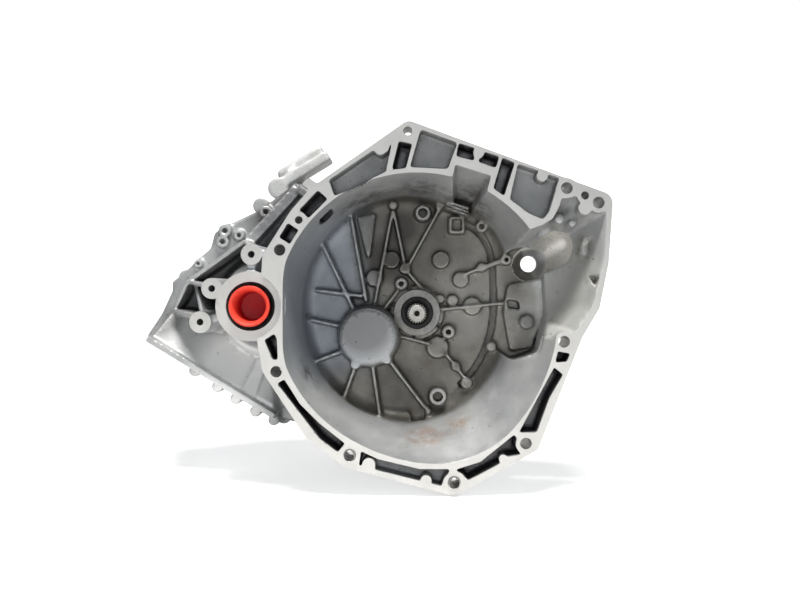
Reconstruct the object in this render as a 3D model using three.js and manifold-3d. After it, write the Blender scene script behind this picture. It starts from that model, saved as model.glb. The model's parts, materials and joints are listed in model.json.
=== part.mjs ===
// A front-wheel-drive manual transaxle: an open bell-shaped clutch housing, a gear casing behind
// it, and the shafts, gears, differential and selector that work inside them.
// Millimetres. The input shaft runs along +Y from the engine mating face at y = 0; +Z is up.
import * as THREE from 'three';
import { mergeVertices } from 'three/addons/utils/BufferGeometryUtils.js';
import Module from 'manifold-3d';

const wasm = await Module();
wasm.setup();

// ---------------------------------------------------------------- driving dimensions
// Stations along the input shaft.
const RIM_BACK = 34;
const FLOOR_FRONT = 98;
const FLOOR_BACK = 106;
const BULGE_FRONT = 146;
const JOINT = 200;
const END_WALL = 342;
const CASING_BACK = 358;
const COVER_BACK = 370;
const WALL = 7;
const GAP = 0.3;

// Shaft axes as [x, z].
const INPUT = [0, 0];
const OUTPUT = [-56, -26];
const DIFF = [-186, 8];
const DIFF_CENTRE_Y = 168;

// Change-speed gears: the same centre distance and tooth sum for every pair.
const CENTRE_DISTANCE = Math.hypot(OUTPUT[0], OUTPUT[1]);
const TOOTH_SUM = 36;
const MODULE = (2 * CENTRE_DISTANCE) / TOOTH_SUM;
const GEAR_WIDTH = 11;
const GROUP_PITCH = 48;
const GROUP_START = 198;
const SECOND_GEAR_OFFSET = 35;
const SLEEVE_CENTRE = 23;
const SLEEVE_WIDTH = 11;
const DOG_RADIUS = 25;
const PAIRS = [
  { name: 'first', teeth: 28, group: 0, side: 0 },
  { name: 'second', teeth: 24, group: 0, side: 1 },
  { name: 'third', teeth: 20, group: 1, side: 0 },
  { name: 'fourth', teeth: 18, group: 1, side: 1 },
  { name: 'fifth', teeth: 15, group: 2, side: 0 },
  { name: 'reverse', teeth: 21, group: 2, side: 1 },
];
const REVERSE_PINION_TEETH = 11;
const REVERSE_IDLER_TEETH = 15;

// Final drive and differential.
const FINAL_PINION_TEETH = 18;
const RING_TEETH = 55;
const FINAL_DISTANCE = Math.hypot(DIFF[0] - OUTPUT[0], DIFF[1] - OUTPUT[1]);
const FINAL_MODULE = (2 * FINAL_DISTANCE) / (FINAL_PINION_TEETH + RING_TEETH);
const RING_FRONT = 162;
const RING_BACK = 188;
const CASE_RADIUS = 46;
const SIDE_TEETH = 14;
const PLANET_TEETH = 10;

// Selector: its shaft leans up and to the left, square to the casing's upper left face.
const SELECTOR_Y = 245;
const SELECTOR_EXIT = [-167.5, 174.9];
const SELECTOR_LEAN = -0.547;
const GATE_DEPTH = -150;
const GATE_STEP = 6;

// ---------------------------------------------------------------- solids
function solid(geometry) {
  const bare = geometry.clone();
  bare.deleteAttribute('normal');
  bare.deleteAttribute('uv');
  const merged = mergeVertices(bare, 1e-4);
  return new wasm.Manifold(new wasm.Mesh({
    numProp: 3,
    vertProperties: new Float32Array(merged.attributes.position.array),
    triVerts: new Uint32Array(merged.index.array),
  }));
}

function join(...pieces) {
  return pieces.flat().reduce((sum, piece) => sum.add(piece));
}

function cut(body, ...tools) {
  return tools.flat().reduce((rest, tool) => rest.subtract(tool), body);
}

const SHARPEST_ROUND = 3.5;
const CHAMFERED_ROUND = 11;
const ARC_STEP = 0.7;

// Rounds the corners of a polygon given as [x, z, radius]. The smallest radii stay sharp, small
// ones become one flat, and the rest become arcs of about 40 degrees a step.
function rounded(corners) {
  const points = [];
  corners.forEach(([x, z, radius = 0], i) => {
    const corner = new THREE.Vector2(x, z);
    const before = new THREE.Vector2(...corners.at(i - 1)).sub(corner);
    const after = new THREE.Vector2(...corners[(i + 1) % corners.length]).sub(corner);
    const cosine = before.dot(after) / before.length() / after.length();
    const half = Math.acos(THREE.MathUtils.clamp(cosine, -1, 1)) / 2;
    const turn = Math.PI - 2 * half;
    if (radius < SHARPEST_ROUND || turn < 0.1) {
      points.push(corner);
      return;
    }
    const reach = Math.min(radius / Math.tan(half), before.length() * 0.48, after.length() * 0.48);
    const from = before.setLength(reach).add(corner);
    const to = after.setLength(reach).add(corner);
    const steps = radius < CHAMFERED_ROUND ? 1 : Math.max(1, Math.round(turn / ARC_STEP));
    points.push(...new THREE.QuadraticBezierCurve(from, corner, to).getPoints(steps));
  });
  return points;
}

// Extrudes an outline in x and z along the shaft, from y0 to y1; shape moves the far end's points.
function prism(points, y0, y1, shape = (p) => p) {
  const geometry = new THREE.ExtrudeGeometry(new THREE.Shape(points), {
    depth: y1 - y0, bevelEnabled: false, steps: 1,
  });
  geometry.rotateX(Math.PI / 2);
  geometry.translate(0, y1, 0);
  const position = geometry.attributes.position;
  for (let i = 0; i < position.count; i += 1) {
    if (position.getY(i) > (y0 + y1) / 2) {
      const moved = shape(new THREE.Vector2(position.getX(i), position.getZ(i)));
      position.setXYZ(i, moved.x, position.getY(i), moved.y);
    }
  }
  return solid(geometry);
}

function block(corners, y0, y1) {
  return prism(rounded(corners), y0, y1);
}

// A round bar along the shaft direction, which can taper.
function round([x, z], radius, y0, y1, endRadius = radius, sides = 16) {
  const geometry = new THREE.CylinderGeometry(endRadius, radius, y1 - y0, sides);
  geometry.translate(x, (y0 + y1) / 2, z);
  return solid(geometry);
}

// A plain eight-sided bar, for fasteners, their holes and small bosses.
function bolt(centre, radius, y0, y1) {
  return round(centre, radius, y0, y1, radius, 8);
}

function tube(centre, outer, inner, y0, y1, sides = 16) {
  const profile = [[inner, y0], [outer, y0], [outer, y1], [inner, y1], [inner, y0]];
  return turned(centre, profile, sides);
}

// Turns a profile of [radius, y] points about an axis along the shaft direction.
function turned([x, z], profile, sides = 16) {
  const geometry = new THREE.LatheGeometry(profile.map(([r, y]) => new THREE.Vector2(r, y)), sides);
  geometry.translate(x, 0, z);
  const body = solid(geometry);
  return body.volume() < 0 ? solid(flipped(geometry)) : body;
}

function flipped(geometry) {
  const index = geometry.index.array;
  for (let i = 0; i < index.length; i += 3) {
    [index[i], index[i + 1]] = [index[i + 1], index[i]];
  }
  return geometry;
}

// A straight rib: a bar from one [x, z] to another, with its own top at each end.
function rib([x0, z0], [x1, z1], width, back, top0, top1 = top0) {
  const length = Math.hypot(x1 - x0, z1 - z0);
  const side = new THREE.Shape([
    new THREE.Vector2(0, back), new THREE.Vector2(length, back),
    new THREE.Vector2(length, top1), new THREE.Vector2(0, top0),
  ]);
  const geometry = new THREE.ExtrudeGeometry(side, { depth: width, bevelEnabled: false });
  geometry.translate(0, 0, -width / 2);
  geometry.rotateY(-Math.atan2(z1 - z0, x1 - x0));
  geometry.translate(x0, 0, z0);
  return solid(geometry);
}

function polar(centre, radiusAt, count = 32) {
  return Array.from({ length: count }, (_, i) => {
    const angle = (2 * Math.PI * i) / count;
    const radius = radiusAt(angle);
    return new THREE.Vector2(centre[0] + radius * Math.cos(angle), centre[1] + radius * Math.sin(angle));
  });
}

// Gear outline with straight-sided teeth; one tooth points at the phase angle.
function gearOutline([x, z], module, teeth, phase) {
  const pitch = (module * teeth) / 2;
  return toothed([x, z], [[pitch - 1.1 * module, 0.33], [pitch + 0.8 * module, 0.115]], teeth, phase);
}

// Goes round a wheel tooth by tooth; levels give the root's and the tip's [radius, half width].
function toothed([x, z], levels, teeth, phase) {
  const flank = [[0, -1], [1, -1], [1, 1], [0, 1]];
  return Array.from({ length: teeth }, (_, tooth) => flank.map(([level, side]) => {
    const [radius, share] = levels[level];
    const angle = phase + ((tooth + side * share) * 2 * Math.PI) / teeth;
    return new THREE.Vector2(x + radius * Math.cos(angle), z + radius * Math.sin(angle));
  })).flat();
}

function gear(centre, module, teeth, phase, y0, y1) {
  return prism(gearOutline(centre, module, teeth, phase), y0, y1);
}

// Phase that puts a gap of the second gear opposite a tooth of the first.
function meshPhase(from, fromTeeth, fromPhase, to, toTeeth) {
  const line = Math.atan2(to[1] - from[1], to[0] - from[0]);
  return line + Math.PI - (fromTeeth / toTeeth) * (fromPhase - line) - Math.PI / toTeeth;
}

// ---------------------------------------------------------------- scene graph
const transmission = new THREE.Group();

function add(name, body, material, group = transmission) {
  const { vertProperties, triVerts } = body.getMesh();
  const geometry = new THREE.BufferGeometry();
  geometry.setAttribute('position', new THREE.BufferAttribute(new Float32Array(vertProperties), 3));
  geometry.setIndex(new THREE.BufferAttribute(new Uint32Array(triVerts), 1));
  geometry.computeVertexNormals();
  const mesh = new THREE.Mesh(geometry, material.clone());
  mesh.name = name;
  group.add(mesh);
  return mesh;
}

function finish(color, roughness, metalness) {
  return new THREE.MeshStandardMaterial({ color, roughness, metalness });
}

const CAST = finish(0xa3a29d, 0.55, 0.85);
const STEEL = finish(0xb9b8b2, 0.3, 1);
const GEAR_STEEL = finish(0x8f8f8c, 0.35, 1);
const BRASS = finish(0xb59a5a, 0.35, 1);
const RUBBER = finish(0x17181a, 0.6, 0);
const RED_PLASTIC = finish(0xf04a38, 0.4, 0);
const ZINC = finish(0xc9c9c6, 0.4, 0.9);

// ---------------------------------------------------------------- clutch housing
const RIM = [
  [-10, 213, 12], [216, 130, 14], [211, 56, 20], [201, 6, 20], [182, -26, 20], [133, -150, 8],
  [41, -201, 8], [-79, -169, 30], [-122, -137, 40], [-170, -64, 20], [-176, -30, 4], [-170, 64, 4],
  [-139, 113, 60], [-118, 137, 4], [-128, 142, 4], [-119, 150, 4], [-110, 143, 4],
];
const MOUTH_RADIUS = 156;
const MOUTH_LEFT = 148.4;
const MOUTH_BULGE = 14;
const FLOOR_CENTRE = [-17, 6];
const FLOOR_HALF_WIDTH = 119;
const FLOOR_HALF_HEIGHT = 130;

// The bell's mouth: a circle, flattened beside the differential and fuller at the lower right.
function mouthRadius(angle, margin = 0) {
  const fromBulge = Math.atan2(Math.sin(angle + 1.19), Math.cos(angle + 1.19)) / 0.55;
  const radius = MOUTH_RADIUS + MOUTH_BULGE * Math.exp(-fromBulge * fromBulge);
  const left = Math.cos(angle) < -0.1 ? MOUTH_LEFT / -Math.cos(angle) : Infinity;
  return Math.min(radius, left) + margin;
}

// Moves a mouth point to the floor's ellipse, along the line from the floor's centre.
function toFloor(margin) {
  return (point) => {
    const angle = Math.atan2(point.y - FLOOR_CENTRE[1], point.x - FLOOR_CENTRE[0]);
    const x = FLOOR_HALF_WIDTH + margin;
    const z = FLOOR_HALF_HEIGHT + margin;
    const radius = (x * z) / Math.hypot(z * Math.cos(angle), x * Math.sin(angle));
    return new THREE.Vector2(
      FLOOR_CENTRE[0] + radius * Math.cos(angle),
      FLOOR_CENTRE[1] + radius * Math.sin(angle),
    );
  };
}

function towards([x, z], scale) {
  return (point) => new THREE.Vector2(x + (point.x - x) * scale, z + (point.y - z) * scale);
}

// The wide bay at the right of the bell, where the starter motor and the crank sensor reach in.
const BAY = [
  [96, 70, 6], [122, 92, 8], [137, 97, 8], [149, 104, 6], [156, 117, 4], [159, 127, 3],
  [179, 130, 4], [187, 121, 3], [212, 114, 6], [211, 58, 20], [199, 10, 20], [179, -22, 10],
  [166, -20, 4], [150, -32, 6], [90, -40, 10],
];
const BAY_FOCUS = [82, 28];
const BAY_DEPTH = 72;

// Open cells of the flange between the mouth's wall and the outer wall, by depth.
const DEEP_CELLS = [
  [[49, 187, 3], [65, 181, 3], [64, 166, 3], [44, 172, 3]],
  [[76, 178, 3], [90, 173, 3], [86, 158, 3], [68, 167, 3]],
  [[94, 172, 2], [108, 166, 2], [96, 129, 2], [84, 138, 2]],
  [[-20, 190, 2], [-5, 187, 2], [-12, 160, 3], [-28, 158, 3]],
  [[155, -41, 2], [169, -44, 2], [165, -53, 2], [152, -54, 2]],
  [[-142, 100, 2], [-130, 92, 2], [-140, 76, 2], [-152, 84, 2]],
  [[-109, 136, 2], [-98, 126, 2], [-119, 105, 2], [-130, 114, 2]],
  [[-157, -22, 2], [-154, -28, 2], [-153, -51, 3], [-159, -51, 2], [-168, -29, 2]],
  [[151, -59, 1], [161, -67, 2], [146, -93, 0], [132, -131, 3], [112, -131, 2], [131, -96, 0]],
  [[107, -133, 2], [111, -138, 2], [109, -146, 4], [115, -155, 2], [98, -158, 3], [90, -166, 2],
    [56, -184, 3], [51, -177, 6], [41, -172, 3], [70, -163, 0]],
  [[-146, -72, 2], [-129, -99, 0], [-107, -121, 0], [-79, -143, 2], [-87, -153, 3],
    [-107, -138, 0], [-154, -77, 2]],
];
const SHALLOW_CELLS = [
  [[-97, 147], [-48, 180], [-42, 175], [-32, 179], [-26, 195], [-34, 156], [-91, 129]],
  [[4, 203, 4], [45, 188, 4], [34, 159, 4], [-8, 161, 3]],
  [[111, 165], [157, 149], [146, 112, 8], [139, 103, 6], [122, 111, 5], [102, 126]],
  [[36, -171, 2], [35, -177, 2], [30, -182, 3], [27, -190, 2], [-46, -172, 2], [-48, -164, 2],
    [-64, -168, 2], [-62, -151, 2], [-43, -160, 0], [3, -171, 0]],
];
const DEEP_CELL = 30;
const SHALLOW_CELL = 20;
const NOTCH = [[36, 150, 1], [45, 172, 2], [85, 157, 2], [77, 132, 1], [50, 120, 1]];
const NOTCH_SHELL = [[30, 140, 1], [40, 180, 4], [93, 162, 4], [84, 122, 1], [50, 110, 1]];
const NOTCH_DEPTH = 70;

// Flange bolt holes as [x, z, radius].
const FLANGE_HOLES = [
  [-10, 201, 5], [165, 138, 6.6], [185, 130, 4.6], [200, 122, 6.6], [162, -31, 6.6],
  [120, -143, 6.5], [-155, -64, 6.4], [-151, 70, 6.4], [-130, 103, 4.4],
];
const DOWEL_HOLES = [[41, -186, 7], [-74, -156, 7]];
const DOWEL_SEAT = 14;
const DOWEL_THROUGH = 5.2;

const HOLE_WALL = 4.2;

// Rounded lugs that stand in the cells and the bay, flush with the mating face.
const CELL_LUGS = [
  [-40, 181, 5.8], [139, 154, 6], [95, -160, 4.6], [10, -184, 6], [-53, -166, 7], [185, 116, 7],
];


function bellShell() {
  const rim = block(RIM, 0, RIM_BACK);
  const bellOuter = prism(polar(INPUT, (a) => mouthRadius(a, WALL)), 0, FLOOR_BACK, toFloor(WALL + 3));
  const bayOuter = prism(
    rounded(BAY).map(towards(BAY_FOCUS, 1.045)), 8, BAY_DEPTH + 8, towards(BAY_FOCUS, 0.64),
  );
  return join(rim, bellOuter, bayOuter, block(NOTCH_SHELL, 8, NOTCH_DEPTH + 6), outerWebs());
}

// Webs behind the flange that stiffen the bell from outside.
function outerWebs() {
  const webs = [[-10, 203], [120, 152], [172, -26], [122, -144], [-74, -158]];
  return webs.map(([x, z]) => {
    const length = Math.hypot(x, z);
    const foot = [(x / length) * 128, (z / length) * 128];
    return rib(foot, [x, z], 6, FLOOR_BACK - 4, RIM_BACK - 6, RIM_BACK - 6)
      .subtract(webUndercut(foot, [x, z]));
  });
}

// Slopes a web's back edge from the flange up to the bell's floor.
function webUndercut([x0, z0], [x1, z1]) {
  const length = Math.hypot(x1 - x0, z1 - z0);
  const side = new THREE.Shape([
    new THREE.Vector2(-4, FLOOR_BACK), new THREE.Vector2(length + 8, FLOOR_BACK),
    new THREE.Vector2(length + 8, RIM_BACK + 4), new THREE.Vector2(length, RIM_BACK + 4),
    new THREE.Vector2(length * 0.15, FLOOR_BACK - 8), new THREE.Vector2(-4, FLOOR_BACK - 8),
  ]);
  const geometry = new THREE.ExtrudeGeometry(side, { depth: 10, bevelEnabled: false });
  geometry.translate(0, 0, -5);
  geometry.rotateY(-Math.atan2(z1 - z0, x1 - x0));
  geometry.translate(x0, 0, z0);
  return solid(geometry);
}

function bellHollow() {
  const mouth = prism(polar(INPUT, mouthRadius), -1, FLOOR_FRONT, toFloor(0));
  const bay = prism(rounded(BAY), -1, BAY_DEPTH, towards(BAY_FOCUS, 0.62));
  return join(mouth, bay, block(NOTCH, -1, NOTCH_DEPTH));
}

function flangeCells() {
  return join(
    DEEP_CELLS.map((cell) => block(cell, -1, DEEP_CELL)),
    SHALLOW_CELLS.map((cell) => block(cell, -1, SHALLOW_CELL)),
  );
}

function flangeHoles() {
  const through = FLANGE_HOLES.map(([x, z, r]) => bolt([x, z], r, -1, RIM_BACK + 1));
  const dowels = DOWEL_HOLES.map(([x, z, r]) => join(
    bolt([x, z], r, -1, DOWEL_SEAT),
    bolt([x, z], DOWEL_THROUGH, 0, RIM_BACK + 1),
  ));
  return join(through, dowels);
}

function flangeBosses() {
  const bosses = [...FLANGE_HOLES, ...DOWEL_HOLES].filter((hole) => hole[2] > 5.5);
  const rim = block(RIM, 0, RIM_BACK);
  return join(
    bosses.map(([x, z, r]) => bolt([x, z], r + HOLE_WALL, 0, RIM_BACK).intersect(rim)),
    CELL_LUGS.map(([x, z, r]) => bolt([x, z], r, 0, SHALLOW_CELL + 4)),
  );
}

// --- inside of the bell: the raised bearing dome, the input boss, ribs and small bosses.
const DOME_FRONT = 60;
const INPUT_BOSS_FRONT = 84;
const DOME_RIBS = [
  [[-61, 14], [-79, 113]], [[-76, 4], [-112, 78]], [[-66, 20], [-112, 26]], [[-90, -17], [-120, -10]],
  [[-88, -44], [-124, -60]], [[-74, -62], [-87, -101]], [[-54, -62], [-45, -122]], [[-36, -56], [9, -113]],
];
const FLOOR_RIBS = [
  [[-51, 12], [-31, 121]], [[-14, 54], [28, 128]], [[28, 5], [106, 12]], [[34, -50], [60, -84]],
];
const SMALL_BOSSES = [
  [7, 120, 9.2, 6], [25, -101, 10, 6.5], [-19, 35, 7.2, 2.8], [38, -23, 7.8, 3],
];
const BOSS_FRONT = 84;
const DOME_KNOBS = [[-73, -61], [-36, -55]];
const SENSOR_HOLE = [138, 60, 10];

function bellInside() {
  const dome = turned(OUTPUT, [
    [0, DOME_FRONT], [27, DOME_FRONT], [31, DOME_FRONT + 5], [36, FLOOR_BACK], [0, FLOOR_BACK],
  ]);
  const boss = round(INPUT, 27.5, INPUT_BOSS_FRONT, FLOOR_BACK, 31);
  const ribs = [
    ...DOME_RIBS.map(([a, b]) => rib(a, b, 4.2, FLOOR_BACK - 1, 78, 84)),
    ...FLOOR_RIBS.map(([a, b]) => rib(a, b, 3.8, FLOOR_BACK - 1, 88, 88)),
  ];
  const bosses = SMALL_BOSSES.map(([x, z, r]) => bolt([x, z], r, BOSS_FRONT, FLOOR_BACK));
  const edge = DOME_KNOBS.map((at) => bolt(at, 5.6, DOME_FRONT + 6, FLOOR_BACK));
  return join(dome, boss, ribs, bosses, edge);
}

// The thick sleeve that carries the sensor hole through the bay, seen as a bright scoop.
function sensorBore() {
  const [x, z, r] = SENSOR_HOLE;
  const scoop = round([x + 6, z + 4], 30, 4, 62, 12);
  return join(round([x, z], r, -1, JOINT), scoop);
}

// --- differential outlet beside the bell, with its tabs for the driveshaft bracket
const DIFF_FACE = 13;
const DIFF_NECK = 39;
const DIFF_BORE = 27.5;
const TABS = [[-185, 66, 11.7], [-231, 28, 11.7], [-246, -10, 12.3]];
const TAB_STEP = 7;
const TAB_HOLE_DEPTH = 27;

function tabFace(i) {
  return DIFF_FACE + i * TAB_STEP;
}

function diffNeck() {
  const neck = round(DIFF, DIFF_NECK, DIFF_FACE, FLOOR_BACK + 44, DIFF_NECK + 5, 24);
  const drum = round(DIFF, 58, FLOOR_BACK - 8, BULGE_FRONT + 4, 72, 24);
  const tabs = TABS.map(([x, z, r], i) => bolt([x, z], r + 1, tabFace(i), BULGE_FRONT + 4));
  const webs = TABS.map(([x, z], i) => rib(DIFF, [x, z], 9, BULGE_FRONT, tabFace(i) + 3));
  const outer = [
    rib([-231, 28], [-296, 46], 5, BULGE_FRONT + 2, 60, BULGE_FRONT - 6),
    rib([-246, -10], [-290, 38], 5, BULGE_FRONT + 2, 60, BULGE_FRONT - 6),
    rib([-185, 66], [-236, 112], 6, BULGE_FRONT + 2, 40, BULGE_FRONT - 6),
    rib([-185, 66], [-150, 70], 7, RIM_BACK + 40, DIFF_FACE + 6, 6),
    rib(DIFF, [-170, -62], 10, BULGE_FRONT, 40, 30),
  ];
  return join(neck, drum, tabs, webs, outer);
}

// --- gear compartment behind the bell, up to the joint with the gear casing
const JOINT_OUTLINE = [
  [-354, -32, 4], [-320, -52, 0], [-253, -92, 0], [-172, -141, 0], [-128, -152, 20], [-60, -112, 20],
  [18, -96, 20], [60, -56, 20], [62, 5, 20], [46, 55, 20], [-10, 92, 20], [-70, 118, 20],
  [-116, 152, 10], [-158, 170, 8], [-206, 134, 0], [-250, 113, 6], [-265, 104, 8], [-270, 84, 6],
  [-306, 51, 4], [-320, 40, 4], [-320, 28, 4], [-334, -2, 0],
];
const JOINT_INNER = [
  [-326, -29, 6], [-253, -77, 0], [-172, -126, 6], [-128, -138, 16], [-64, -98, 16], [8, -76, 16],
  [43, -42, 16], [48, 3, 16], [34, 48, 16], [-18, 78, 16], [-76, 104, 16], [-120, 140, 8],
  [-156, 162, 8], [-203, 128, 0], [-243, 106, 6], [-289, 60, 8], [-306, 30, 8],
];
const CHAMBER_OUTER = [
  [-128, -24, 20], [-118, -80, 30], [-60, -98, 30], [14, -84, 20], [54, -48, 20], [60, 4, 20],
  [44, 52, 20], [-20, 62, 20], [-100, 44, 20],
];
const JOINT_BOLTS = [
  [-338, -27], [-286, -62], [-234, -104], [-176, -137], [35, -84],
  [56, 42], [-66, 113], [-206, 140], [-304, 45],
];
const FLANGE_THICKNESS = 12;

function gearCompartment() {
  const flangeFront = JOINT - FLANGE_THICKNESS;
  const bulgeOutline = rounded(JOINT_OUTLINE).map(towards(DIFF, 0.965));
  const bulge = prism(bulgeOutline, BULGE_FRONT, flangeFront, towards(DIFF, 1 / 0.98));
  const flange = block(JOINT_OUTLINE, flangeFront - 1, JOINT);
  const bosses = JOINT_BOLTS.map((at) => bolt(at, 10.5, JOINT - 26, JOINT));
  return join(bulge, flange, bosses, block(CHAMBER_OUTER, FLOOR_FRONT + 2, BULGE_FRONT + 2));
}

function compartmentHollow() {
  const main = prism(rounded(JOINT_INNER).map(towards(DIFF, 0.99)), BULGE_FRONT + WALL, JOINT + 1,
    towards(DIFF, 1 / 0.99));
  const chamber = block(CHAMBER_OUTER.map(([x, z, r]) => [x * 0.86 - 4, z * 0.86 - 2, r]),
    FLOOR_BACK + 2, BULGE_FRONT + WALL + 1);
  const diff = round(DIFF, 50, FLOOR_BACK + 18, BULGE_FRONT + WALL + 1, 62, 24);
  return join(main, chamber, diff);
}

// Bearing seats and bores that open into the compartment.
function housingBores() {
  return join(
    round(INPUT, 19.6, INPUT_BOSS_FRONT - 1, FLOOR_FRONT + 1),
    round(INPUT, 13, FLOOR_FRONT - 1, FLOOR_BACK + 30),
    round(INPUT, 27.3, FLOOR_BACK + 2, FLOOR_BACK + 30),
    round(OUTPUT, 26.3, DOME_FRONT + 12, FLOOR_BACK + 4),
    round(DIFF, DIFF_NECK - 2.5, -1, DIFF_FACE, DIFF_NECK - 2.5, 24),
    round(DIFF, DIFF_BORE, DIFF_FACE - 1, FLOOR_BACK, DIFF_BORE, 24),
    round(DIFF, 31.3, FLOOR_BACK - 1, FLOOR_BACK + 20),
  );
}

function bearingSeat() {
  return tube(INPUT, 33, 27.3, FLOOR_BACK, FLOOR_BACK + 18);
}

function buildClutchHousing() {
  const shell = join(bellShell(), diffNeck(), gearCompartment());
  const sleeve = round(SENSOR_HOLE, 19, 20, BULGE_FRONT - 40, 15);
  let body = cut(join(shell, sleeve), bellHollow(), flangeCells());
  body = join(body, bellInside(), flangeBosses().subtract(bayWindow()));
  body = cut(body, compartmentHollow());
  body = join(body, bearingSeat());
  const drilled = SMALL_BOSSES.map(([x, z, , hole]) => bolt([x, z], hole, BOSS_FRONT - 1, BOSS_FRONT + 17));
  const tabHoles = TABS.map((tab, i) => bolt(tab, 4, tabFace(i) - 1, tabFace(i) + TAB_HOLE_DEPTH));
  const jointHoles = JOINT_BOLTS.map((at) => bolt(at, 4.3, JOINT - 22, JOINT + 1));
  return cut(body, flangeHoles(), sensorBore(), drilled, tabHoles, jointHoles, housingBores());
}

// Nothing may stand in the mouth itself.
function bayWindow() {
  return prism(polar(INPUT, (a) => mouthRadius(a, -1)), -1, FLOOR_FRONT - 20, toFloor(-1));
}

add('clutch_housing', buildClutchHousing(), CAST);

// ---------------------------------------------------------------- gear casing and rear cover
const GEAR_INNER = [
  [-111, -26, 20], [-100, -72, 30], [-56, -84, 20], [10, -80, 20], [38, -50, 20], [46, 0, 20],
  [34, 50, 20], [-22, 89, 16], [-70, 89, 20], [-113, 30, 20],
];
const GEAR_OUTER = [
  [-118, -26, 24], [-107, -78, 34], [-58, -92, 24], [13, -89, 24], [46, -55, 24], [54, 0, 26],
  [40, 56, 24], [-19, 97, 22], [-75, 97, 24], [-121, 34, 24],
];
const COVER_BOLTS = [[-108, -62], [22, -72], [42, 36], [-92, 66]];
const DIFF_COVER_BACK = 246;
const DIFF_BOSS_BACK = 262;
const REVERSE = reverseCentre();
const DRAIN = [-56, 278];
const BREATHER = [-46, 306];

// Where the reverse idler sits: in mesh with the input pinion and the reverse gear at once.
function reverseCentre() {
  const toInput = (MODULE * (REVERSE_PINION_TEETH + REVERSE_IDLER_TEETH)) / 2;
  const toOutput = (MODULE * (REVERSE_IDLER_TEETH + PAIRS[5].teeth)) / 2;
  const along = (toInput ** 2 + CENTRE_DISTANCE ** 2 - toOutput ** 2) / (2 * CENTRE_DISTANCE);
  const across = Math.sqrt(toInput ** 2 - along ** 2);
  const unit = [OUTPUT[0] / CENTRE_DISTANCE, OUTPUT[1] / CENTRE_DISTANCE];
  return [along * unit[0] - across * unit[1], along * unit[1] + across * unit[0]];
}

// Solids in the selector's own frame: its z runs out along the selector shaft, x to the right.
function leaned(geometry) {
  geometry.rotateY(SELECTOR_LEAN);
  geometry.translate(SELECTOR_EXIT[0], SELECTOR_Y, SELECTOR_EXIT[1]);
  return solid(geometry);
}

function leanBlock([x0, x1], [y0, y1], [z0, z1]) {
  const geometry = new THREE.BoxGeometry(x1 - x0, y1 - y0, z1 - z0);
  geometry.translate((x0 + x1) / 2, (y0 + y1) / 2, (z0 + z1) / 2);
  return leaned(geometry);
}

function leanRound(radius, z0, z1, sides = 16) {
  const geometry = new THREE.CylinderGeometry(radius, radius, z1 - z0, sides);
  geometry.rotateX(Math.PI / 2);
  geometry.translate(0, 0, (z0 + z1) / 2);
  return leaned(geometry);
}

function upright([x, y], radius, z0, z1, sides = 16) {
  const geometry = new THREE.CylinderGeometry(radius, radius, z1 - z0, sides);
  geometry.rotateX(Math.PI / 2);
  geometry.translate(x, y, (z0 + z1) / 2);
  return solid(geometry);
}

const DUCT_TOP = -19;
const DUCT_HALF = 30;

const CASING_MIDDLE = new THREE.Vector2(-36, 2);
const RIB_HEIGHT = 9;

function casingRibs() {
  const around = [[-112, -52], [-84, -86], [-24, -88], [48, -26], [47, 28], [8, 78]];
  return around.map(([x, z]) => {
    const outward = new THREE.Vector2(x, z).sub(CASING_MIDDLE).setLength(RIB_HEIGHT);
    const root = [x - outward.x, z - outward.y];
    const tip = [x + outward.x, z + outward.y];
    return rib(root, tip, 4, JOINT + 4, CASING_BACK, CASING_BACK - 70);
  });
}

function diffCoverRibs() {
  return [2.1, 2.9, 3.7, 4.5].map((angle) => {
    const tip = [DIFF[0] + 104 * Math.cos(angle), DIFF[1] + 104 * Math.sin(angle)];
    return rib(DIFF, tip, 5, DIFF_COVER_BACK - 12, DIFF_BOSS_BACK - 2, DIFF_COVER_BACK - 8);
  });
}

function buildGearCasing() {
  const outer = join(
    block(JOINT_OUTLINE, JOINT, JOINT + FLANGE_THICKNESS),
    JOINT_BOLTS.map((at) => bolt(at, 10.5, JOINT, JOINT + 20)),
    round(DIFF, 114, JOINT + 2, DIFF_COVER_BACK, 104, 32),
    round(DIFF, 50, DIFF_COVER_BACK - 6, DIFF_BOSS_BACK, 41, 24),
    block(GEAR_OUTER, JOINT, CASING_BACK),
    COVER_BOLTS.map((at) => bolt(at, 9, CASING_BACK - 24, CASING_BACK)),
    leanBlock([-DUCT_HALF, DUCT_HALF], [-32, 28], [-150, DUCT_TOP]),
    upright(DRAIN, 15, -97, -80),
    upright(BREATHER, 11, 86, 101),
    casingRibs(),
    diffCoverRibs(),
  );
  const hollow = join(
    block(JOINT_INNER, JOINT - 1, JOINT + 2),
    round(DIFF, 106, JOINT - 1, DIFF_COVER_BACK - WALL, 97, 32),
    block(GEAR_INNER, JOINT - 1, END_WALL),
    leanBlock([-23, 23], [-25, 21], [-165, DUCT_TOP - WALL]),
    leanRound(17, DUCT_TOP - WALL - 1, DUCT_TOP + 1),
  );
  const seats = join(
    round(INPUT, 24.3, END_WALL - 1, CASING_BACK + 1),
    round(OUTPUT, 26.3, END_WALL - 1, CASING_BACK + 1),
    round(DIFF, DIFF_BORE, DIFF_COVER_BACK - 8, DIFF_BOSS_BACK + 1, DIFF_BORE, 24),
    round(REVERSE, 8.3, END_WALL - 1, END_WALL + 10),
    upright(DRAIN, 9.3, -98, -70),
    upright(BREATHER, 4.3, 70, 102),
    COVER_BOLTS.map((at) => bolt(at, 3.3, CASING_BACK - 18, CASING_BACK + 1)),
    JOINT_BOLTS.map((at) => bolt(at, 4.3, JOINT - 1, JOINT + 21)),
  );
  const seat = tube(DIFF, 38, 31.5, DIFF_COVER_BACK - 24, DIFF_COVER_BACK - 6);
  return join(cut(outer, hollow), seat).subtract(seats);
}

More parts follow.
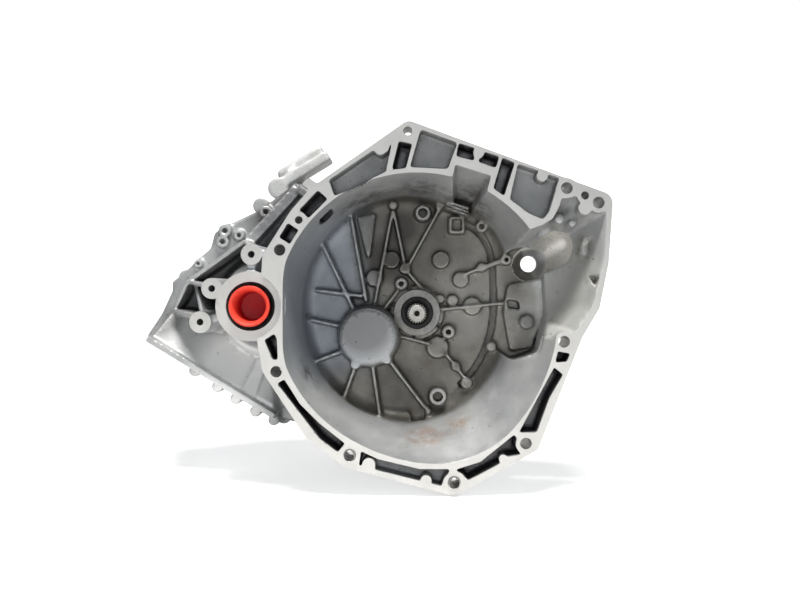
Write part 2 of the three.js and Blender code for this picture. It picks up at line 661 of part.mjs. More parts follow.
function buildRearCover() {
  const plate = block(GEAR_OUTER, CASING_BACK, COVER_BACK);
  const domes = [
    round(INPUT, 27, COVER_BACK - 2, COVER_BACK + 5, 23),
    round(OUTPUT, 29, COVER_BACK - 2, COVER_BACK + 5, 25),
  ];
  const lugs = COVER_BOLTS.map((at) => bolt(at, 9, CASING_BACK, COVER_BACK));
  const hollow = [
    round(INPUT, 22, CASING_BACK - 1, COVER_BACK - 4),
    round(OUTPUT, 24, CASING_BACK - 1, COVER_BACK - 4),
  ];
  const holes = COVER_BOLTS.map((at) => bolt(at, 3.5, CASING_BACK - 1, COVER_BACK + 1));
  return cut(join(plate, domes, lugs), hollow, holes);
}

add('gear_casing', buildGearCasing(), CAST);
add('rear_cover', buildRearCover(), CAST);

// ---------------------------------------------------------------- fasteners and dowels
function flangedBolt(centre, radius, from, to, head) {
  const hex = new THREE.CylinderGeometry(radius * 1.85, radius * 1.85, head, 6);
  hex.translate(centre[0], to + 1.5 + head / 2, centre[1]);
  return join(
    round(centre, radius, from, to + 1, radius, 6),
    bolt(centre, radius * 2.3, to + GAP, to + 2),
    solid(hex),
  );
}

JOINT_BOLTS.forEach((at, i) => {
  add(`casing_bolt_${i + 1}`, flangedBolt(at, 4, JOINT - 18, JOINT + 20, 6), ZINC);
});
COVER_BOLTS.forEach((at, i) => {
  add(`cover_bolt_${i + 1}`, flangedBolt(at, 3, CASING_BACK - 14, COVER_BACK, 5), ZINC);
});
DOWEL_HOLES.forEach(([x, z], i) => {
  add(`dowel_sleeve_${i + 1}`, tube([x, z], 6.4, 5.4, -6, 13.7, 10), STEEL);
});

add('drain_plug', join(upright(DRAIN, 9, -100, -84, 12), upright(DRAIN, 12.5, -104, -97.3, 6)), ZINC);
add('breather', join(upright(BREATHER, 4, 92, 114, 10), upright(BREATHER, 7, 112, 120, 12)), RUBBER);

// ---------------------------------------------------------------- input shaft
const SPLINE_TEETH = 14;
const SPLINE_MODULE = 1.5;
const SHAFT_RADIUS = 10;

function pairY({ group, side }) {
  return GROUP_START + group * GROUP_PITCH + side * SECOND_GEAR_OFFSET;
}

function inputTeeth({ name, teeth }) {
  return name === 'reverse' ? REVERSE_PINION_TEETH : TOOTH_SUM - teeth;
}

function buildInputShaft() {
  const core = round(INPUT, SHAFT_RADIUS, 68, CASING_BACK - 1);
  const spline = gear(INPUT, SPLINE_MODULE, SPLINE_TEETH, 0, 6, 70);
  const tip = round(INPUT, 8.4, 0, 8, 9.6);
  const gears = PAIRS.map((pair) => (
    gear(INPUT, MODULE, inputTeeth(pair), 0, pairY(pair), pairY(pair) + GEAR_WIDTH)
  ));
  return join(core, spline, tip, gears);
}

add('input_shaft', buildInputShaft(), STEEL);
add('input_seal', tube(INPUT, 19.3, 10.5, INPUT_BOSS_FRONT + GAP, FLOOR_FRONT - GAP), RUBBER);
add('input_bearing_front', tube(INPUT, 27, 10.4, FLOOR_BACK + 2 + GAP, FLOOR_BACK + 16), STEEL);
add('input_bearing_rear', tube(INPUT, 24, 10.4, END_WALL + 1, CASING_BACK - 1), STEEL);

// ---------------------------------------------------------------- output shaft and its gears
const OUTPUT_RADIUS = 14;
const FINAL_FRONT = 160;
const FINAL_BACK = 192;
const OUTPUT_END_RADIUS = 12;
const RING_PHASE = 0;

function sleeveY(group) {
  return GROUP_START + group * GROUP_PITCH + SLEEVE_CENTRE;
}

function buildOutputShaft() {
  const pinionPhase = meshPhase(DIFF, RING_TEETH, RING_PHASE, OUTPUT, FINAL_PINION_TEETH);
  const hubs = [0, 1, 2].map((group) => (
    round(OUTPUT, DOG_RADIUS, sleeveY(group) - 5.6, sleeveY(group) + 5.6, DOG_RADIUS, 16)
  ));
  return join(
    round(OUTPUT, OUTPUT_END_RADIUS, DOME_FRONT + 14, CASING_BACK - 1),
    round(OUTPUT, OUTPUT_RADIUS, FLOOR_BACK - 2, END_WALL),
    gear(OUTPUT, FINAL_MODULE, FINAL_PINION_TEETH, pinionPhase, FINAL_FRONT, FINAL_BACK),
    hubs,
  );
}

function buildLooseGear(pair) {
  const fromInput = meshPhase(INPUT, inputTeeth(pair), 0, OUTPUT, pair.teeth);
  const idlerPhase = meshPhase(INPUT, REVERSE_PINION_TEETH, 0, REVERSE, REVERSE_IDLER_TEETH);
  const fromIdler = meshPhase(REVERSE, REVERSE_IDLER_TEETH, idlerPhase, OUTPUT, pair.teeth);
  const y0 = pairY(pair);
  const dogs = pair.side ? [y0 - 6, y0 + 1] : [y0 + GEAR_WIDTH - 1, y0 + GEAR_WIDTH + 6];
  const body = join(
    gear(OUTPUT, MODULE, pair.teeth, pair.name === 'reverse' ? fromIdler : fromInput, y0, y0 + GEAR_WIDTH),
    round(OUTPUT, DOG_RADIUS - (pair.teeth < 18 ? 3 : 0), ...dogs),
  );
  return body.subtract(round(OUTPUT, OUTPUT_RADIUS + 0.6, y0 - 10, y0 + 30));
}

const SLEEVE_BORE = DOG_RADIUS + 0.8;

function buildSleeve(group) {
  const y = sleeveY(group);
  const half = SLEEVE_WIDTH / 2;
  return turned(OUTPUT, [
    [SLEEVE_BORE, y - half], [34, y - half], [34, y - 2.6], [30, y - 2.6],
    [30, y + 2.6], [34, y + 2.6], [34, y + half], [SLEEVE_BORE, y + half],
    [SLEEVE_BORE, y - half],
  ]);
}

add('output_shaft', buildOutputShaft(), STEEL);
add('output_bearing_front', tube(OUTPUT, 26, 12.4, DOME_FRONT + 14, DOME_FRONT + 32), STEEL);
add('output_bearing_rear', tube(OUTPUT, 26, 12.4, END_WALL + 1, CASING_BACK - 1), STEEL);
PAIRS.forEach((pair) => add(`${pair.name}_gear`, buildLooseGear(pair), GEAR_STEEL));
['1_2', '3_4', '5_reverse'].forEach((name, group) => {
  add(`synchro_sleeve_${name}`, buildSleeve(group), GEAR_STEEL);
});

function buildReverseIdler() {
  const phase = meshPhase(INPUT, REVERSE_PINION_TEETH, 0, REVERSE, REVERSE_IDLER_TEETH);
  const y0 = pairY(PAIRS[5]);
  return gear(REVERSE, MODULE, REVERSE_IDLER_TEETH, phase, y0, y0 + GEAR_WIDTH)
    .subtract(round(REVERSE, 8.5, y0 - 1, y0 + GEAR_WIDTH + 1));
}

add('reverse_idler_gear', buildReverseIdler(), GEAR_STEEL);
add('reverse_idler_shaft', round(REVERSE, 8, pairY(PAIRS[5]) - 5, END_WALL + 9), STEEL);

// ---------------------------------------------------------------- differential
const BEVEL_MODULE = 4;
const BEVEL_BIG = 20;
const BEVEL_SMALL = 12;
const PLANET_BIG = (BEVEL_BIG * SIDE_TEETH) / PLANET_TEETH;
const PLANET_SMALL = (BEVEL_SMALL * SIDE_TEETH) / PLANET_TEETH;
const CASE_FRONT = 104;
const CASE_BACK = 240;
const NECK_RADIUS = 22;
const NECK_BORE = 14;

function bevelOutline([x, z], teeth, phase) {
  const pitch = (BEVEL_MODULE * teeth) / 2;
  const levels = [[pitch - 0.85 * BEVEL_MODULE, 0.3], [pitch + 0.45 * BEVEL_MODULE, 0.13]];
  return toothed([x, z], levels, teeth, phase);
}

function buildSideGear(facing) {
  const y = (depth) => DIFF_CENTRE_Y + facing * depth;
  const big = bevelOutline(DIFF, SIDE_TEETH, 0);
  const teeth = facing < 0
    ? prism(big, y(BEVEL_BIG), y(BEVEL_SMALL), towards(DIFF, BEVEL_SMALL / BEVEL_BIG))
    : prism(big.map(towards(DIFF, BEVEL_SMALL / BEVEL_BIG)), y(BEVEL_SMALL), y(BEVEL_BIG),
      towards(DIFF, BEVEL_BIG / BEVEL_SMALL));
  const span = (a, b) => [Math.min(y(a), y(b)), Math.max(y(a), y(b))];
  const back = round(DIFF, 24, ...span(BEVEL_BIG - 0.5, BEVEL_BIG + 6));
  const hub = round(DIFF, 13.4, ...span(BEVEL_BIG, BEVEL_BIG + 24));
  return join(teeth, back, hub).subtract(round(DIFF, 9.5, ...span(BEVEL_SMALL - 1, BEVEL_BIG + 30)));
}

// Planet gear about its own +Y, with the bevel's apex at the origin.
function buildPlanet() {
  const origin = [0, 0];
  const small = bevelOutline(origin, PLANET_TEETH, Math.PI / PLANET_TEETH)
    .map(towards(origin, PLANET_SMALL / PLANET_BIG));
  const teeth = prism(small, PLANET_SMALL, PLANET_BIG, towards(origin, PLANET_BIG / PLANET_SMALL));
  const back = round(origin, 15, PLANET_BIG - 0.5, PLANET_BIG + 5);
  return join(teeth, back).subtract(round(origin, 8.6, PLANET_SMALL - 1, PLANET_BIG + 6));
}

function alongX(radius, half) {
  const geometry = new THREE.CylinderGeometry(radius, radius, 2 * half, 16);
  geometry.rotateZ(Math.PI / 2);
  geometry.translate(DIFF[0], DIFF_CENTRE_Y, DIFF[1]);
  return solid(geometry);
}

function buildDifferentialCase() {
  const shell = turned(DIFF, [
    [NECK_BORE, CASE_FRONT], [NECK_RADIUS, CASE_FRONT], [NECK_RADIUS, 130], [CASE_RADIUS, 136],
    [CASE_RADIUS, RING_BACK + GAP], [70, RING_BACK + GAP], [70, RING_BACK + 8], [CASE_RADIUS, RING_BACK + 8],
    [CASE_RADIUS, 202], [NECK_RADIUS, 206], [NECK_RADIUS, CASE_BACK], [NECK_BORE, CASE_BACK],
    [NECK_BORE, 200], [37.5, 197], [37.5, 139], [NECK_BORE, 136], [NECK_BORE, CASE_FRONT],
  ], 16);
  const window = new THREE.BoxGeometry(34, 17, 120);
  window.translate(DIFF[0], 151, DIFF[1]);
  return shell.subtract(solid(window)).subtract(alongX(8.3, 60));
}

function buildRingGear() {
  return cut(
    gear(DIFF, FINAL_MODULE, RING_TEETH, RING_PHASE, RING_FRONT, RING_BACK),
    round(DIFF, CASE_RADIUS + 1.2, RING_FRONT - 1, RING_BACK + 1),
    tube(DIFF, 92, 54, RING_FRONT - 1, RING_BACK - 12, 20),
  );
}

function placePlanet(name, turn) {
  const seat = new THREE.Group();
  seat.position.set(DIFF[0], DIFF_CENTRE_Y, DIFF[1]);
  seat.rotation.z = turn;
  transmission.add(seat);
  add(name, buildPlanet(), GEAR_STEEL, seat);
}

// Cup-shaped plug that seals the differential outlet while no driveshaft is fitted.
function buildPlug(face, inward, depth) {
  const profile = [
    [0, depth], [19.5, depth], [21.6, depth - 4], [21.6, 5], [22.8, 4], [22.8, 0], [21.2, 0], [16, 8],
    [15.2, depth - 5], [0, depth - 5],
  ];
  return turned(DIFF, profile.map(([r, d]) => [r, face + inward * d]), 16);
}

add('differential_case', buildDifferentialCase(), STEEL);
add('ring_gear', buildRingGear(), GEAR_STEEL);
add('differential_pin', alongX(8, CASE_RADIUS - 0.6), STEEL);
add('side_gear_engine_side', buildSideGear(-1), GEAR_STEEL);
add('side_gear_gearbox_side', buildSideGear(1), GEAR_STEEL);
placePlanet('planet_gear_1', -Math.PI / 2);
placePlanet('planet_gear_2', Math.PI / 2);
add('differential_bearing_engine_side',
  tube(DIFF, 31, NECK_RADIUS + 0.9, FLOOR_BACK + 1, FLOOR_BACK + 16), STEEL);
add('differential_bearing_gearbox_side',
  tube(DIFF, 31, NECK_RADIUS + 0.9, DIFF_COVER_BACK - 23, DIFF_COVER_BACK - 8 - GAP), STEEL);
add('differential_seal_engine_side',
  tube(DIFF, DIFF_BORE - 0.4, 22.8, DIFF_FACE + 4, DIFF_FACE + 14, 16), RUBBER);
add('differential_seal_gearbox_side',
  tube(DIFF, DIFF_BORE - 0.4, 22.8, DIFF_BOSS_BACK - 13, DIFF_BOSS_BACK - 3, 16), RUBBER);
add('transport_plug_engine_side', buildPlug(5, 1, 39), RED_PLASTIC);
add('transport_plug_gearbox_side', buildPlug(DIFF_BOSS_BACK + 8, -1, 24), RED_PLASTIC);

// ---------------------------------------------------------------- selector
const SELECTOR_RADIUS = 8;
const GATES = [GATE_DEPTH + GATE_STEP, GATE_DEPTH, GATE_DEPTH - GATE_STEP];
const RAIL_X = 54;
const RAIL = [
  SELECTOR_EXIT[0] + RAIL_X * Math.cos(SELECTOR_LEAN) + GATE_DEPTH * Math.sin(SELECTOR_LEAN),
  SELECTOR_EXIT[1] - RAIL_X * Math.sin(SELECTOR_LEAN) + GATE_DEPTH * Math.cos(SELECTOR_LEAN),
];
const RAIL_RADIUS = 7;
const FORK_HALF = 2.2;
const FORK_HUB = 12;
const FORK_HUB_LENGTH = 18;

function buildSelectorCover() {
  return cut(
    join(leanRound(16.6, DUCT_TOP - 14, DUCT_TOP + 1), leanRound(24, DUCT_TOP + GAP, DUCT_TOP + 6.5)),
    leanRound(SELECTOR_RADIUS + 0.5, DUCT_TOP - 20, DUCT_TOP + 10),
  );
}

function buildSelectorShaft() {
  const finger = leanBlock([0, 30], [-3.5, 3.5], [GATE_DEPTH - 2.3, GATE_DEPTH + 2.3]);
  return join(
    leanRound(SELECTOR_RADIUS, GATE_DEPTH - 8, 24),
    leanRound(13, GATE_DEPTH - 7, GATE_DEPTH + 9),
    finger,
  );
}

function buildShiftLever() {
  const weight = new THREE.ExtrudeGeometry(new THREE.Shape(rounded([
    [-16, 4, 3], [54, 4, 5], [58, 9, 3], [57, 26, 4], [52, 31, 4], [-14, 31, 4], [-17, 27, 3],
  ])), {
    depth: 40, bevelEnabled: true, bevelThickness: 2, bevelSize: 2, bevelOffset: -2, bevelSegments: 1,
  });
  weight.translate(0, 0, -20);
  weight.rotateX(Math.PI / 2);
  const end = new THREE.CylinderGeometry(13, 13, 32, 16);
  end.translate(-23, 0, 8);
  const link = leanBlock([-24, -10], [-14, 14], [4, 20]);
  const hub = leanRound(16, 3, 26);
  return join(leaned(weight), leaned(end), link, hub)
    .subtract(leanRound(SELECTOR_RADIUS + 0.4, 0, 24.6));
}

function buildInterlockPlate() {
  const collar = leanRound(18, GATE_DEPTH + 10, GATE_DEPTH + 17);
  const tail = leanBlock([-22, -8], [-12, 12], [GATE_DEPTH - 4, GATE_DEPTH + 17]);
  return cut(join(collar, tail),
    leanRound(SELECTOR_RADIUS + 0.4, GATE_DEPTH, GATE_DEPTH + 20),
    leanRound(13.6, GATE_DEPTH - 10, GATE_DEPTH + 9.5));
}

function forkArm(y) {
  const steps = 8;
  const arc = (radius, from, to) => Array.from({ length: steps + 1 }, (_, i) => {
    const angle = from + ((to - from) * i) / steps;
    return new THREE.Vector2(OUTPUT[0] + radius * Math.cos(angle), OUTPUT[1] + radius * Math.sin(angle));
  });
  const towardsRail = Math.atan2(RAIL[1] - OUTPUT[1], RAIL[0] - OUTPUT[0]);
  const claw = [
    ...arc(31.4, towardsRail - 1.45, towardsRail + 1.45),
    ...arc(39, towardsRail + 1.45, towardsRail - 1.45),
  ];
  const root = [OUTPUT[0] + 34 * Math.cos(towardsRail), OUTPUT[1] + 34 * Math.sin(towardsRail)];
  return join(
    prism(claw, y - FORK_HALF, y + FORK_HALF),
    rib(root, RAIL, 12, y + FORK_HALF, y - FORK_HALF),
  );
}

function buildFork(group) {
  const y = sleeveY(group);
  const hubSpan = group === 0 ? [y - 15, y + 3] : [y - 3, y - 3 + FORK_HUB_LENGTH];
  const gate = [GATES[group] - 2.6, GATES[group] + 2.6];
  const slot = leanBlock([18, 31], [-5.5, 5.5], [gate[0] - 1, gate[1] + 1]);
  const plate = leanBlock([20, 37], [-8, 8], gate).subtract(slot);
  const barSpan = group === 0 ? [hubSpan[0], SELECTOR_Y - 6] : [SELECTOR_Y + 6, hubSpan[1]];
  const bar = leanBlock([31.5, 37], barSpan.map((v) => v - SELECTOR_Y), gate);
  const link = leanBlock([32, 46], hubSpan.map((v) => v - SELECTOR_Y), gate);
  return join(plate, bar, link, round(RAIL, FORK_HUB, ...hubSpan), forkArm(y))
    .subtract(round(RAIL, RAIL_RADIUS + 0.5, hubSpan[0] - 1, hubSpan[1] + 1));
}

add('selector_cover', buildSelectorCover(), CAST);
add('selector_seal', leanRound(11.5, DUCT_TOP + 6.8, DUCT_TOP + 14)
  .subtract(leanRound(SELECTOR_RADIUS + 0.5, DUCT_TOP, DUCT_TOP + 20)), RUBBER);
add('selector_shaft', buildSelectorShaft(), STEEL);
add('shift_lever', buildShiftLever(), ZINC);
add('interlock_plate', buildInterlockPlate(), STEEL);
add('fork_rail', round(RAIL, RAIL_RADIUS, JOINT + 3, END_WALL - GAP), STEEL);
['1_2', '3_4', '5_reverse'].forEach((name, group) => add(`shift_fork_${name}`, buildFork(group), BRASS));

export default transmission;
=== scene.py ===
"""Looks of a manual transaxle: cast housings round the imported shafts, gears and forks."""
import json
import math

import bmesh
import bpy
import numpy as np
import openvdb
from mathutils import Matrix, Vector


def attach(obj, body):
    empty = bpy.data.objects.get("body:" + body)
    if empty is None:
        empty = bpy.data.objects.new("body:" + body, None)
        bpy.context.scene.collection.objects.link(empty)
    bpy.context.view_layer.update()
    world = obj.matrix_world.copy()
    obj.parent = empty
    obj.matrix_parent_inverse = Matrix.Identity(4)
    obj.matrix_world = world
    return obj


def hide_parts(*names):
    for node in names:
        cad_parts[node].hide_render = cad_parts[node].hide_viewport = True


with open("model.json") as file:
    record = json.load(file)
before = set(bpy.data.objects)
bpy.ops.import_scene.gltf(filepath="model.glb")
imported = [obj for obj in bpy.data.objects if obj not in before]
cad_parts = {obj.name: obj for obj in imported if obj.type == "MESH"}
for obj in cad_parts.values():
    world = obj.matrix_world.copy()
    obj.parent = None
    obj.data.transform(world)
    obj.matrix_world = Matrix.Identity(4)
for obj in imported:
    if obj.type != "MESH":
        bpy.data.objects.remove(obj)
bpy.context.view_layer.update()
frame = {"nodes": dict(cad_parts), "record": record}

MM = 0.001
# A casting's grid spacing, and how far from its surface distances are kept, in millimetres.
STEP = 1.5
BAND = 6.0

# Shaft centres in the x, z plane, and depths along the shafts from the engine face.
INPUT = (0, 0)
OUTPUT = (-56, -26)
DOME = (-58, -28)
DIFF = (-186, 8)
FLOOR_FRONT, FLOOR_BACK = 98, 106
RIM_BACK = 34
BOSS_BACK = 62
BULGE_FRONT = 146
JOINT = 200
END_WALL = 342
CASING_BACK, COVER_BACK = 358, 370
DOME_FRONT = 60
INPUT_BOSS_FRONT = 84
DIFF_FACE = 13
DIFF_COVER_BACK, DIFF_BOSS_BACK = 246, 262
WALL = 7
# Castings are modelled this much too tall at machined faces, and then milled back to them.
PROUD = 4
BOLT_BOSS, BOLT_HOLE = 10.5, 4.3
COVER_BOSS, COVER_HOLE = 9, 3.5
RIB_DRAFT = 0.05
BOLT_SIDES = 36
SPLINE_TEETH = 22
# The input shaft's pinions: teeth, and where each one's front lies.
PINIONS = [(8, 198), (12, 233), (16, 246), (18, 281), (21, 294), (11, 329)]
# Mesh cleaning, in millimetres: points nearer than this merge, thinner faces go.
CAST_CLEANING, TURNED_CLEANING = (0.08, 0.02), (0.004, 0.001)
CAST_SMOOTH = 38
# How far round a point a casting is looked at for broad hollows and for narrow crevices.
HOLLOW_REACH, CREVICE_REACH = 14, 3.5


# ---------------------------------------------------------------- distance fields, in millimetres
def smooth_min(a, b, soft):
    if soft <= 0:
        return np.minimum(a, b)
    blend = np.clip(soft - np.abs(a - b), 0, None) / soft
    return np.minimum(a, b) - blend * blend * soft * 0.25


def smooth_max(a, b, soft):
    return -smooth_min(-a, -b, soft)


class Casting:
    """One cast body: a grid of signed distances that shapes are added to and cut from."""

    def __init__(self, low, high, step):
        self.step = step
        self.axes = [np.arange(a, b + step, step, dtype=np.float32) for a, b in zip(low, high)]
        self.value = np.full([len(a) for a in self.axes], BAND, np.float32)

    def window(self, low, high):
        spans = tuple(
            slice(*np.searchsorted(axis, (a - BAND, b + BAND)))
            for axis, a, b in zip(self.axes, low, high)
        )
        x, y, z = (axis[span] for axis, span in zip(self.axes, spans))
        return spans, x[:, None, None], y[None, :, None], z[None, None, :]

    def add(self, shape, soft=2.5):
        low, high, distance = shape
        spans, x, y, z = self.window(low, high)
        self.value[spans] = smooth_min(self.value[spans], distance(x, y, z), soft)

    def cut(self, shape, soft=1.5):
        low, high, distance = shape
        spans, x, y, z = self.window(low, high)
        self.value[spans] = smooth_max(self.value[spans], -distance(x, y, z), soft)

    def drill(self, centres, radius, y0, y1, soft=0.0):
        """Square-ended round holes of one size along the shafts."""
        for centre in centres:
            self.cut(rod(centre[:2], radius, y0, y1, edge=0), soft)

    def boss(self, centres, radius, y0, y1, edge):
        """Round bosses of one size along the shafts."""
        for centre in centres:
            self.add(rod(centre, radius, y0, y1, edge=edge), 4)

    def fullness(self, points, reach):
        """Share of solid within a reach of each point: a half on a flat, more in a hollow."""
        share = (self.value < 0).astype(np.float32)
        count = max(1, int(round(reach / self.step)))
        for axis in (0, 1, 2, 0, 1, 2):
            pad = [(0, 0)] * 3
            pad[axis] = (count + 1, count)
            total = np.cumsum(np.pad(share, pad, mode="edge"), axis=axis, dtype=np.float32)
            ahead = [slice(None)] * 3
            behind = [slice(None)] * 3
            ahead[axis] = slice(2 * count + 1, None)
            behind[axis] = slice(None, -2 * count - 1)
            share = (total[tuple(ahead)] - total[tuple(behind)]) / (2 * count + 1)
        low = np.array([axis[0] for axis in self.axes])
        index = np.rint((points - low) / self.step).astype(int)
        index = np.clip(index, 0, np.array(share.shape) - 1)
        return share[index[:, 0], index[:, 1], index[:, 2]]

    def surface(self, adaptivity):
        """Vertices in millimetres and polygons, wound outwards."""
        grid = openvdb.FloatGrid()
        grid.background = BAND
        grid.copyFromArray(np.clip(self.value, -BAND, BAND))
        points, triangles, quads = grid.convertToPolygons(0.0, adaptivity)
        points = points * self.step + np.array([axis[0] for axis in self.axes])
        faces = [list(face[::-1]) for face in triangles.tolist()]
        faces += [list(face[::-1]) for face in quads.tolist()]
        return points, faces


def span(y0, y1, pad, *points):
    """The box from y0 to y1 that holds some points in the x, z plane with a margin round them."""
    xs, zs = zip(*points)
    return (min(xs) - pad, y0, min(zs) - pad), (max(xs) + pad, y1, max(zs) + pad)


def along_line(start, end):
    """A line's length in the x, z plane, and what measures distances along and across it."""
    length = math.dist(start, end)
    ux, uz = (end[0] - start[0]) / length, (end[1] - start[1]) / length

    def measure(x, z):
        dx, dz = x - start[0], z - start[1]
        return dx * ux + dz * uz, np.abs(dz * ux - dx * uz)

    return length, measure


def rod(centre, radius, y0, y1, end=None, edge=1.0):
    """A round boss along the shaft direction, which can taper."""
    end = radius if end is None else end

    def distance(x, y, z):
        t = np.clip((y - y0) / (y1 - y0), 0, 1)
        side = np.hypot(x - centre[0], z - centre[1]) - (radius + (end - radius) * t)
        return smooth_max(side, np.abs(y - (y0 + y1) / 2) - (y1 - y0) / 2, edge)

    return *span(y0, y1, max(radius, end), centre), distance


def bar(start, end, width, back, top, end_top=None, edge=1.2):
    """A straight cast rib between two points, thicker towards its root."""
    end_top = top if end_top is None else end_top
    length, measure = along_line(start, end)

    def distance(x, y, z):
        along, across = measure(x, z)
        crest = top + (end_top - top) * np.clip(along / length, 0, 1)
        half = width / 2 + RIB_DRAFT * np.clip(y - crest, 0, 60)
        side = smooth_max(across - half, np.abs(along - length / 2) - length / 2, edge)
        return smooth_max(side, np.maximum(crest - y, y - back), edge)

    return *span(min(top, end_top), back, width / 2 + 3, start, end), distance


def rounded(corners, steps=7):
    """Outline with its corners [x, z, radius] turned into arcs."""
    points = []
    for i, corner in enumerate(corners):
        at = np.array(corner[:2], float)
        radius = corner[2] if len(corner) > 2 else 0
        before = np.array(corners[i - 1][:2], float) - at
        after = np.array(corners[(i + 1) % len(corners)][:2], float) - at
        lengths = np.linalg.norm(before), np.linalg.norm(after)
        cosine = np.clip(before @ after / (lengths[0] * lengths[1]), -1, 1)
        half = math.acos(cosine) / 2
        if radius < 0.5 or math.pi - 2 * half < 0.05:
            points.append(at)
            continue
        reach = min(radius / math.tan(half), lengths[0] * 0.48, lengths[1] * 0.48)
        first = at + before / lengths[0] * reach
        last = at + after / lengths[1] * reach
        for t in np.linspace(0, 1, steps):
            points.append((1 - t) ** 2 * first + 2 * t * (1 - t) * at + t * t * last)
    return np.array(points)


def polygon_distance(points, x, z):
    """Signed distance to a closed outline in the x, z plane, negative inside."""
    nearest = np.full(np.broadcast_shapes(x.shape, z.shape), 1e9, np.float32)
    inside = np.zeros(nearest.shape, bool)
    for (ax, az), (bx, bz) in zip(points, np.roll(points, -1, axis=0)):
        ex, ez = bx - ax, bz - az
        t = np.clip(((x - ax) * ex + (z - az) * ez) / (ex * ex + ez * ez + 1e-9), 0, 1)
        nearest = np.minimum(nearest, (x - ax - t * ex) ** 2 + (z - az - t * ez) ** 2)
        if abs(ez) > 1e-9:
            inside ^= ((az > z) != (bz > z)) & (x < (z - az) / ez * ex + ax)
    return np.where(inside, -1, 1) * np.sqrt(nearest)


class Field:
    """An outline's distances, worked out once on a flat grid and then looked up."""

    def __init__(self, corners, margin=20):
        points = rounded(corners)
        self.low = points.min(0) - margin
        self.high = points.max(0) + margin
        x = np.arange(self.low[0], self.high[0] + 1)
        z = np.arange(self.low[1], self.high[1] + 1)
        self.grid = polygon_distance(points, x[:, None], z[None, :])

    def at(self, x, z):
        u = np.clip(x - self.low[0], 0, self.grid.shape[0] - 1.001)
        v = np.clip(z - self.low[1], 0, self.grid.shape[1] - 1.001)
        u, v = np.broadcast_arrays(u, v)
        i, j = u.astype(int), v.astype(int)
        fu, fv = u - i, v - j
        g = self.grid
        return (
            g[i, j] * (1 - fu) * (1 - fv) + g[i + 1, j] * fu * (1 - fv)
            + g[i, j + 1] * (1 - fu) * fv + g[i + 1, j + 1] * fu * fv
        )


def prism(corners, y0, y1, focus=(0, 0), end_scale=1.0, edge=1.0, grow=0.0):
    """An outline swept along the shafts, shrinking towards a focus at its far end."""
    field = Field(corners)

    def distance(x, y, z):
        t = np.clip((y - y0) / (y1 - y0), 0, 1)
        scale = 1 + (end_scale - 1) * t
        if end_scale == 1.0:
            side = field.at(x, z) - grow
        else:
            side = field.at(focus[0] + (x - focus[0]) / scale, focus[1] + (z - focus[1]) / scale)
            side = side * scale - grow
        return smooth_max(side, np.abs(y - (y0 + y1) / 2) - (y1 - y0) / 2, edge)

    low = (field.low[0] + 18, y0, field.low[1] + 18)
    return low, (field.high[0] - 18, y1, field.high[1] - 18), distance


def box_shape(xs, ys, zs, edge):
    def distance(x, y, z):
        across = np.abs(x - sum(xs) / 2) - (xs[1] - xs[0]) / 2
        deep = np.abs(y - sum(ys) / 2) - (ys[1] - ys[0]) / 2
        tall = np.abs(z - sum(zs) / 2) - (zs[1] - zs[0]) / 2
        return smooth_max(smooth_max(across, deep, edge), tall, edge)

    return (xs[0], ys[0], zs[0]), (xs[1], ys[1], zs[1]), distance


# ---------------------------------------------------------------- clutch housing
RIM = [
    (-10, 213, 12), (216, 130, 14), (211, 56, 20), (201, 6, 20), (182, -26, 20), (133, -150, 8),
    (41, -201, 8), (-79, -169, 30), (-122, -137, 40), (-170, -64, 20), (-176, -30, 4),
    (-170, 64, 4), (-139, 113, 60), (-118, 137, 4), (-128, 142, 4), (-119, 150, 4), (-110, 143, 4),
]
MOUTH_RADIUS, MOUTH_LEFT, MOUTH_BULGE = 156, 148.4, 14
FLOOR_CENTRE = (-17, 6)
FLOOR_HALF = (119, 130)
BAY = [
    (96, 70, 6), (122, 92, 8), (137, 97, 8), (149, 104, 6), (156, 117, 4), (159, 127, 3),
    (179, 130, 4), (187, 121, 3), (209, 113, 6), (205.5, 58, 20), (193, 8, 20), (174, -21, 10),
    (166, -20, 4), (150, -32, 6), (90, -40, 10),
]
BAY_FOCUS = (82, 28)
BAY_DEPTH, BAY_TAPER = 72, 0.34
DEEP_CELLS = [
    [(46, 188, 3), (65, 182, 3), (63, 168, 3), (43, 173, 3)],
    [(72, 179, 3), (91, 173, 3), (87, 160, 3), (67, 167, 3)],
    [(94, 172, 2), (108, 166, 2), (96, 129, 2), (84, 138, 2)],
    [(-20, 190, 2), (-5, 187, 2), (-12, 160, 3), (-28, 158, 3)],
    [(155, -41, 2), (169, -44, 2), (165, -53, 2), (152, -54, 2)],
    [(-142, 100, 2), (-130, 92, 2), (-140, 76, 2), (-152, 84, 2)],
    [(-109, 136, 2), (-98, 126, 2), (-119, 105, 2), (-130, 114, 2)],
    [(-157, -22, 2), (-154, -28, 2), (-153, -51, 3), (-159, -51, 2), (-168, -29, 2)],
    [(151, -59, 1), (161, -67, 2), (146, -93, 0), (132, -131, 3), (112, -131, 2), (131, -96, 0)],
    [(107, -133, 2), (111, -138, 2), (109, -146, 4), (115, -155, 2), (98, -158, 3), (90, -166, 2),
     (56, -184, 3), (51, -177, 6), (41, -172, 3), (70, -163, 0)],
    [(-146, -72, 2), (-129, -99, 0), (-107, -121, 0), (-79, -143, 2), (-87, -153, 3),
     (-107, -138, 0), (-154, -77, 2)],
]
